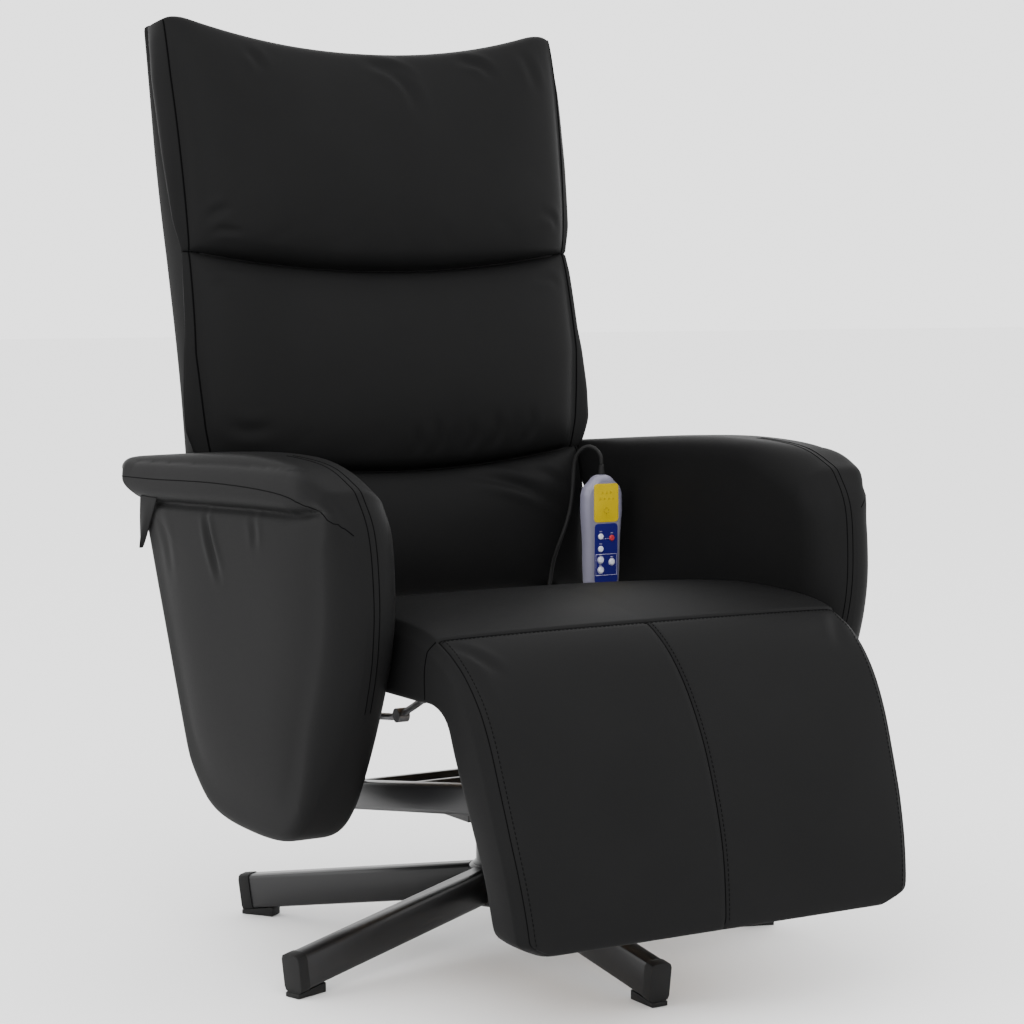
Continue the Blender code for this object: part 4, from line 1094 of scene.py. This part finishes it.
class CHAIR_OT_seat(bpy.types.Operator):
    """One skin over the seat and the footrest"""
    bl_idname = "chair.seat"
    bl_label = "Seat and footrest"

    def execute(self, context):
        cross = skin_share(*FRONT_SEAM)
        across = stations(64, (-SEAT_SEAM, 0.0, SEAT_SEAM), 0.0065)
        along = stations(112, (cross,), 0.0040)
        levels = np.unique(np.r_[np.linspace(0, 1, 8), 0.10])
        obj, place = slab("seat_and_footrest_leather", across, along, levels)
        a, b, c = place.T
        line = skin_lines(400)
        pair = sample(line, np.linspace(-1, 1, 400), b)
        outer, inner = pair[:, :2], pair[:, 2:]
        inner = self.under(a, b, outer, inner)
        ends = smooth(b, -1.0, -0.90) * (1 - 0.55 * smooth(b, 0.955, 1.0))
        edge = np.clip((np.abs(a) - (1 - SKIN_ROUND / SEAT_HALF)) / (SKIN_ROUND / SEAT_HALF), 0, 1)
        fall = SKIN_ROUND * (1 - np.sqrt(np.clip(1 - (0.93 * edge) ** 2, 0, 1))) * 0.8
        crown = 0.0040 * rounded(a, 2.6) * ends * (1 - smooth(b, 0.80, 1.0))
        toward = (inner - outer) / np.linalg.norm(outer - inner, axis=1)[:, None]
        level = (fall - crown) * (1 - c) ** 3
        flat = outer + (inner - outer) * c[:, None] + toward * level[:, None]
        below = (0.0, 0.0035, 0.0055, 0.0085, 0.0125, 0.0165, 0.0200)
        taper = np.interp(-outer[:, 1], (-0.40, -0.34, -0.28, -0.22, -0.17, -0.125, -0.105), below)
        taper += 0.024 * smooth(b, 0.950, 1.0) ** 2
        wide = SEAT_HALF - 0.0015 - taper + 0.0022 * np.sin(np.pi * c) * (np.abs(a) > 0.999)
        corner = 0.0035 * (1 - np.sqrt(np.clip(1 - (1 - c / EDGE_DEPTH) ** 2, 0, 1))) * (c < EDGE_DEPTH)
        x = a * (wide - corner * edge)
        move_points(obj, chair(np.stack([x, flat[:, 0], flat[:, 1]], -1)))
        face_out(obj)
        rim = np.maximum(smooth(np.abs(a), 0.90, 0.985), 1 - smooth(1 - np.abs(b), 0.01, 0.07))
        seam = np.exp(-(((b - cross) / 0.012) ** 2))
        hold = np.where(c > 0, 1.0, np.maximum(rim, 0.75 * seam))
        swell(obj, hold, sizes().swell * 0.8)
        subdivide(obj)
        self.press_seams(obj, cross)
        self.fold(obj)
        self.seams(obj, cross)
        settle(obj, None, "leather", "seat_cushion", "footrest_cushion")
        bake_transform(obj)
        return {"FINISHED"}

    def under(self, a, b, outer, inner):
        """The inner line, lifted over the seat board and off the knee's hinge."""
        x = np.abs(a) * SEAT_HALF
        low, high = BOARD_LOW.y - AXIS_Y, BOARD_HIGH.y - AXIS_Y
        over_board = smooth(-x, -BOARD_HIGH.x - 0.0045, -BOARD_HIGH.x - 0.0005)
        over_board *= smooth(inner[:, 0], low - 0.006, low - 0.001)
        over_board *= smooth(-inner[:, 0], -high - 0.006, -high - 0.001)
        over_board *= np.abs(b) < 0.9999
        lifted = inner.copy()
        lifted[:, 1] = np.maximum(inner[:, 1], BOARD_HIGH.z + 0.0006)
        found = inner + (lifted - inner) * over_board[:, None]
        knee = KNEE[1:] - (AXIS_Y, 0)
        near = np.exp(-(np.linalg.norm(inner - knee, axis=1) / 0.034) ** 4) * smooth(-x, -0.218, -0.203)
        return found + (outer - found) * (0.52 * near * (1 - over_board))[:, None]

    def press_seams(self, obj, cross):
        """Sink the seams that are sewn through: along both sides, across the front and down the middle."""
        places, points, normals = places_of(obj), points_of(obj), normals_of(obj)
        a, b, c = places.T
        top = np.exp(-((c / 0.03) ** 2))
        below = smooth(b, cross - 0.004, cross + 0.004)
        sunk = 0.0022 * np.exp(-(((np.abs(a) - SEAT_SEAM) / 0.0075) ** 2)) * below
        sunk += 0.0022 * np.exp(-(((b - cross) / 0.0045) ** 2)) * (np.abs(a) < SEAT_SEAM + 0.004)
        sunk += 0.0014 * np.exp(-((a / 0.0075) ** 2)) * below
        move_points(obj, points - normals * (sunk * top)[:, None])

    def fold(self, obj):
        """Creases at the front corners, and where the back presses on the seat."""
        skin = Surface(obj)
        folds = [
            ([(-0.245, -0.312, 0.40), (-0.225, -0.330, 0.39), (-0.205, -0.352, 0.37)], 0.006, 0.0020),
            ([(-0.248, -0.325, 0.40), (-0.238, -0.350, 0.37), (-0.232, -0.380, 0.34)], 0.006, 0.0016),
            ([(0.245, -0.312, 0.40), (0.228, -0.332, 0.39), (0.212, -0.352, 0.37)], 0.006, 0.0018),
            ([(-0.235, 0.02, 0.41), (-0.200, 0.035, 0.41), (-0.150, 0.040, 0.41)], 0.008, 0.0016),
            ([(0.130, 0.06, 0.40), (0.175, 0.040, 0.41), (0.225, 0.030, 0.41)], 0.008, 0.0018),
        ]
        creases(obj, [(skin.lay(chair(line)), wide, deep) for line, wide, deep in folds])

    def seams(self, obj, cross):
        """The sewn lines and their stitches."""
        top = 1.0 - 0.012
        lines = [place_lines(obj, 0, side * SEAT_SEAM, cross, top) for side in (-1, 1)]
        lines.append(place_lines(obj, 0, 0.0, cross, top))
        lines.append(place_lines(obj, 1, cross, -SEAT_SEAM, SEAT_SEAM, order=0))
        skin = Surface(obj)
        offsets = ((0.0052, 0, 0), (-0.0052, 0, 0), (0.0042, 0, 0), (0, -0.0042, -0.0028))
        beside = [skin.lay(line + offset) for line, offset in zip(lines, offsets)]
        for made in (tubes("seat_seams", lines, 0.0006, 6), stitches("seat_stitching", beside, skin)):
            settle(made, None, "leather", material="thread")
            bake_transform(made)
        corner = []
        for side in (-1, 1):
            spots = [(side * 0.252, -0.301, 0.405), (side * 0.262, -0.296, 0.395),
                     (side * 0.266, -0.292, 0.375), (side * 0.266, -0.290, 0.350),
                     (side * 0.264, -0.288, 0.338)]
            corner.append(skin.lay(through(chair(spots), 60), 0.0002))
        settle(tubes("seat_corner_seams", corner, 0.0006, 6), "seat", "leather", material="thread")


# The handset

class CHAIR_OT_handset(bpy.types.Operator):
    """The wired handset's shell, its printed marks and its strain relief"""
    bl_idname = "chair.handset"
    bl_label = "Handset"

    def execute(self, context):
        self.shell()
        self.marks()
        return {"FINISHED"}

    def shell(self):
        """A rounded shell, fuller at its head, with a boot for the lead."""
        low, high = HANDSET_LOW, HANDSET_HIGH
        boot = 0.012
        middle_x, top = (low.x + high.x) / 2, high.z - boot
        obj, place = slab("handset_shell_fine", stations(22), stations(44), np.linspace(0, 1, 9))
        a, b, c = place.T
        bottom = low.z - 0.0075
        height = top - bottom
        share = (b + 1) / 2
        half = between(share, ((0, 0.0200), (0.05, 0.0236), (0.2, 0.0244), (0.45, 0.0252), (0.7, 0.0280),
                               (0.86, 0.0275), (0.95, 0.0245), (1.0, 0.0165)))
        s = 2 * c - 1
        inset = 0.0050 * (1 - np.sqrt(np.clip(1 - np.abs(s) ** 2.6, 0, 1)))
        x = middle_x - 0.0015 + a * (half - inset)
        z = bottom + inset + (height - 2 * inset) * share
        shoulder = 0.0075 * smooth(share, 0.75, 1.0) - 0.005 * (1 - smooth(share, 0, 0.2))
        z -= shoulder * np.abs(a) ** 3
        back = 0.0030 * rounded(a, 2.4) * rounded(b, 4.0) * (c > 0.99)
        y = low.y + 0.0004 + (high.y - low.y - 0.004) * c + back
        move_points(obj, np.stack([x, y, z], -1))
        face_out(obj)
        subdivide(obj)
        settle(obj, "seat", "handset_shell", "handset_body")
        self.boot((middle_x, (low.y + high.y) / 2, top), boot)

    def boot(self, foot, tall):
        """The ribbed strain relief on top of the shell."""
        deselect()
        bpy.ops.mesh.primitive_cone_add(
            vertices=28, radius1=0.0046, radius2=0.0029, depth=tall + 0.004,
            location=(foot[0], foot[1], foot[2] + tall / 2 - 0.002))
        obj = bpy.context.object
        obj.name = "handset_lead_boot"
        bpy.ops.object.mode_set(mode="EDIT")
        for height in np.linspace(0.2, 0.85, 5):
            bpy.ops.mesh.select_all(action="SELECT")
            bpy.ops.mesh.bisect(plane_co=(0, 0, foot[2] + tall * height), plane_no=(0, 0, 1))
        bpy.ops.object.mode_set(mode="OBJECT")
        ribs = obj.modifiers.new("edges", "BEVEL")
        ribs.width, ribs.segments = 0.0005, 2
        apply_modifiers(obj)
        settle(obj, "seat", "rubber", angle=35)

    def marks(self):
        """Plain printed marks: rings, dots and bars that stand for functions."""
        low_corner, high_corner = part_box("handset_display")
        front = low_corner.y - 0.00012
        keys = {name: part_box(name) for name in frame["nodes"] if name.startswith("key_")}
        middle_x = (HANDSET_LOW.x + HANDSET_HIGH.x) / 2
        middle = {name: ((low.x + high.x) / 2, (low.z + high.z) / 2) for name, (low, high) in keys.items()}
        white = [self.ring(*middle[name], 0.0044, front) for name in ("key_back", "key_seat", "key_heat")]
        left, right = middle_x - 0.0150, middle_x + 0.0150
        low, high = middle["key_heat"][1] - 0.0065, middle["key_back"][1] + 0.0068
        border = [(left, low), (right, low), (right, high), (left, high), (left, low)]
        white.append([(x, front, z) for x, z in border])
        for x, z in middle.values():
            white.append([(x - 0.0018, front, z + 0.0062), (x + 0.0018, front, z + 0.0062)])
        for k in range(3):
            start = middle_x - 0.006 + 0.004 * k
            white.append([(start, front, high + 0.0190), (start + 0.002, front, high + 0.0190)])
        tall = high_corner.z - low_corner.z
        centre_z = low_corner.z + 0.30 * tall
        dark = [self.ring(middle_x, centre_z, 0.0034, front)]
        dark.append([(middle_x, front, centre_z - 0.0034), (middle_x, front, centre_z - 0.0058)])
        for row, share in enumerate((0.60, 0.76)):
            z = low_corner.z + share * tall
            for column in range(4 - row):
                x = middle_x - 0.0095 + 0.0060 * column + 0.003 * row
                dark.append([(x, front, z - 0.0015), (x + 0.0008, front, z + 0.0015),
                             (x + 0.0020, front, z - 0.0004)])
        settle(tubes("handset_white_marks", white, 0.00028, 4), "seat", "keypad", material="print")
        settle(tubes("handset_dark_marks", dark, 0.00028, 4), "seat", "display", material="dark_print")

    def ring(self, x, z, radius, y):
        turns = np.linspace(0, 2 * np.pi, 25)
        return [(x + radius * math.cos(t), y, z + radius * math.sin(t)) for t in turns]


class CHAIR_OT_lead(bpy.types.Operator):
    """The handset's lead, from its outlet under the seat up to the boot"""
    bl_idname = "chair.lead"
    bl_label = "Handset lead"

    def execute(self, context):
        thick = 0.0045
        line = through(chair(LEAD_POINTS), 140)
        curve = bpy.data.curves.new("handset_lead", "CURVE")
        curve.dimensions = "3D"
        curve.bevel_depth = thick / 2
        curve.bevel_resolution = 4
        curve.use_fill_caps = True
        spline = curve.splines.new("POLY")
        spline.points.add(len(line) - 1)
        for point, place in zip(spline.points, line):
            point.co = (*place, 1)
        obj = bpy.data.objects.new("handset_lead", curve)
        bpy.context.scene.collection.objects.link(obj)
        settle(obj, "seat", "rubber", "handset_cord")
        return {"FINISHED"}


# Metal, plastic and wood

def refined(node, width, angle=32):
    """A CAD piece with its edges rounded: welded, its flat faces joined, then bevelled."""
    source = frame["nodes"][node]
    deselect()
    obj = bpy.data.objects.new(node + "_fine", source.data.copy())
    bpy.context.scene.collection.objects.link(obj)
    activate(obj)
    bpy.ops.object.mode_set(mode="EDIT")
    bpy.ops.mesh.select_all(action="SELECT")
    bpy.ops.mesh.remove_doubles(threshold=0.00001)
    bpy.ops.mesh.dissolve_limited(angle_limit=math.radians(0.6))
    bpy.ops.object.mode_set(mode="OBJECT")
    edges = obj.modifiers.new("edges", "BEVEL")
    edges.width, edges.segments = width, 2
    edges.limit_method, edges.angle_limit = "ANGLE", math.radians(angle)
    edges.use_clamp_overlap = True
    apply_modifiers(obj)
    settle(obj, BODIES[node], SLOTS[node], node, angle=32)


# The radius of the rounded edges, by node
REFINED = {
    "swivel_plate": 0.0008, "cross_bar_front": 0.0006, "cross_bar_rear": 0.0006,
    "riser_left": 0.0006, "riser_right": 0.0006, "rail_left": 0.0006, "rail_right": 0.0006,
    "hinge_arm_left": 0.0006, "hinge_arm_right": 0.0006, "footrest_bracket_left": 0.0005,
    "footrest_bracket_right": 0.0005, "footrest_lug_left": 0.0005, "footrest_lug_right": 0.0005,
    "control_box": 0.0008, "seat_board": 0.0008, "back_board": 0.0008, "footrest_board": 0.0008,
}


class CHAIR_OT_frame(bpy.types.Operator):
    """Rounded edges on the metalwork, and the finish of every piece that the frame gives"""
    bl_idname = "chair.frame"
    bl_label = "Frame and mechanism"

    def execute(self, context):
        for node, width in REFINED.items():
            refined(node, width)
        for name, node in frame["nodes"].items():
            if not node.hide_render:
                node.data.materials.clear()
                node.data.materials.append(finish(SLOTS[name]))
        self.fasteners()
        return {"FINISHED"}

    def fasteners(self):
        """Hexagon bolts in the plate, the risers and the hinge arms."""
        for body, spots in self.spots().items():
            bolts = [self.bolt(place, Vector(axis), radius) for place, axis, radius in spots]
            activate(bolts[0])
            for bolt in bolts:
                bolt.select_set(True)
            bpy.ops.object.join()
            obj = bpy.context.object
            obj.name = f"{body}_bolts"
            settle(obj, body, "steel", angle=30)

    def spots(self):
        """Where each body's bolts are: their place, the way that they point and their radius."""
        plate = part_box("swivel_plate")
        seat = []
        for x in (-0.070, 0.070):
            for y in (plate[0].y + 0.030, plate[1].y - 0.030):
                seat.append(((x, y, plate[0].z), (0, 0, -1), 0.0065))
        for name, sign in (("left", 1), ("right", -1)):
            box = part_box(f"riser_{name}")
            inner = box[0].x if sign > 0 else box[1].x
            for y in (-0.030, 0.080):
                seat.append(((inner, y + AXIS_Y, BOARD_LOW.z - 0.022), (-sign, 0, 0), 0.0055))
                seat.append(((inner, y + AXIS_Y, 0.216 - y * 0.15), (-sign, 0, 0), 0.0055))
        back = []
        for sign in (1, -1):
            for up in (0.085, 0.150, 0.215):
                spot = on_back(np.array(sign * 0.2055), np.array(up), np.array(-0.0550))
                back.append((tuple(spot), (-sign, 0, 0), 0.0045))
        return {"seat": seat, "backrest": back}

    def bolt(self, place, axis, radius):
        """A hexagon head with a chamfer and a washer."""
        parts = []
        washer = 0.0012
        top = washer + radius * 0.75
        for sides, wide, low, high in ((6, radius, washer, top), (24, radius * 1.45, 0.0, washer)):
            deselect()
            bpy.ops.mesh.primitive_cylinder_add(
                vertices=sides, radius=wide, depth=high - low, location=(0, 0, (low + high) / 2))
            obj = bpy.context.object
            edge = obj.modifiers.new("edges", "BEVEL")
            edge.width, edge.segments = radius * 0.09, 2
            apply_modifiers(obj)
            bpy.ops.object.transform_apply(location=True, rotation=True, scale=True)
            parts.append(obj)
        activate(parts[0])
        parts[1].select_set(True)
        bpy.ops.object.join()
        obj = bpy.context.object
        turn = axis.to_track_quat("Z", "Y").to_matrix()
        move_points(obj, points_of(obj) @ np.array(turn).T + np.array(place))
        return obj


class CHAIR_OT_base(bpy.types.Operator):
    """The five-star base with rounded legs, its hub and its end caps"""
    bl_idname = "chair.base"
    bl_label = "Base"

    def execute(self, context):
        for k in range(1, 6):
            refined(f"base_leg_{k}", 0.0009, 25)
            refined(f"leg_cap_{k}", 0.0009, 25)
        for node in ("base_hub", "swivel_post", "bearing_lower", "bearing_upper"):
            refined(node, 0.0006, 30)
        return {"FINISHED"}


# The studio

class CHAIR_OT_stage(bpy.types.Operator):
    """A pale floor, soft lights and the camera"""
    bl_idname = "chair.stage"
    bl_label = "Studio"

    def execute(self, context):
        self.floor()
        self.lights()
        self.camera()
        return {"FINISHED"}

    def floor(self):
        deselect()
        bpy.ops.mesh.primitive_plane_add(size=60, location=(0, 0, -0.0005))
        floor = bpy.context.object
        floor.name = "studio_floor"
        base = tuple(colours().floor)
        made = Finish("studio_floor", roughness=0.9, colour=base, specular=0.1)
        cloud = made.noise(made.place(), 1.3, 2.0)
        made.feed("Base Color", made.blend(cloud, shade(base, 0.995), shade(base, 1.005)))
        floor.data.materials.append(made.material)

    def lights(self):
        world = bpy.data.worlds.new("studio")
        world.use_nodes = True
        back = world.node_tree.nodes["Background"]
        back.inputs["Color"].default_value = (1, 1, 1, 1)
        back.inputs["Strength"].default_value = 2.4
        bpy.context.scene.world = world
        for name, place, target, wide, power in (
            ("key", (-1.6, -2.6, 2.7), (0, 0, 0.5), 2.2, 60),
            ("side", (-2.8, 0.4, 1.5), (0, 0, 0.5), 1.8, 26),
            ("fill", (2.6, -1.4, 1.6), (0, 0, 0.5), 2.0, 16),
        ):
            light = bpy.data.lights.new(name, "AREA")
            light.energy, light.size = power, wide
            obj = bpy.data.objects.new(name, light)
            bpy.context.scene.collection.objects.link(obj)
            obj.location = place
            obj.rotation_euler = (Vector(target) - Vector(place)).to_track_quat("-Z", "Y").to_euler()

    def camera(self):
        lens = bpy.data.cameras.new("camera")
        lens.lens, lens.sensor_width = 91.43, 36.0
        lens.clip_start, lens.clip_end = 0.05, 100
        camera = bpy.data.objects.new("camera", lens)
        bpy.context.scene.collection.objects.link(camera)
        camera.location = (-1.50954, AXIS_Y - 2.54277, 0.75900)
        camera.rotation_euler = (math.radians(90 - 5.080), 0, math.radians(-31.0))
        bpy.context.scene.camera = camera


class CHAIR_PT_panel(bpy.types.Panel):
    """Every step of the chair's looks"""
    bl_label = "Massage chair"
    bl_idname = "CHAIR_PT_panel"
    bl_space_type = "VIEW_3D"
    bl_region_type = "UI"
    bl_category = "Massage chair"

    def draw(self, context):
        for group in (context.scene.chair_sizes, context.scene.chair_colours):
            for name in group.__annotations__:
                self.layout.prop(group, name)
        for operator in STEPS:
            self.layout.operator(operator.bl_idname)


STEPS = (
    CHAIR_OT_stage, CHAIR_OT_lead, CHAIR_OT_back_cushions, CHAIR_OT_back_cover, CHAIR_OT_arms, CHAIR_OT_seat,
    CHAIR_OT_handset, CHAIR_OT_base, CHAIR_OT_frame,
)
CLASSES = (ChairSizes, ChairColours, *STEPS, CHAIR_PT_panel)


def register():
    for kind in CLASSES:
        bpy.utils.register_class(kind)
    bpy.types.Scene.chair_sizes = PointerProperty(type=ChairSizes)
    bpy.types.Scene.chair_colours = PointerProperty(type=ChairColours)


def unregister():
    del bpy.types.Scene.chair_sizes
    del bpy.types.Scene.chair_colours
    for kind in reversed(CLASSES):
        bpy.utils.unregister_class(kind)


def main():
    register()
    for step in STEPS:
        group, name = step.bl_idname.split(".")
        getattr(getattr(bpy.ops, group), name)()


if __name__ == "__main__":
    main()
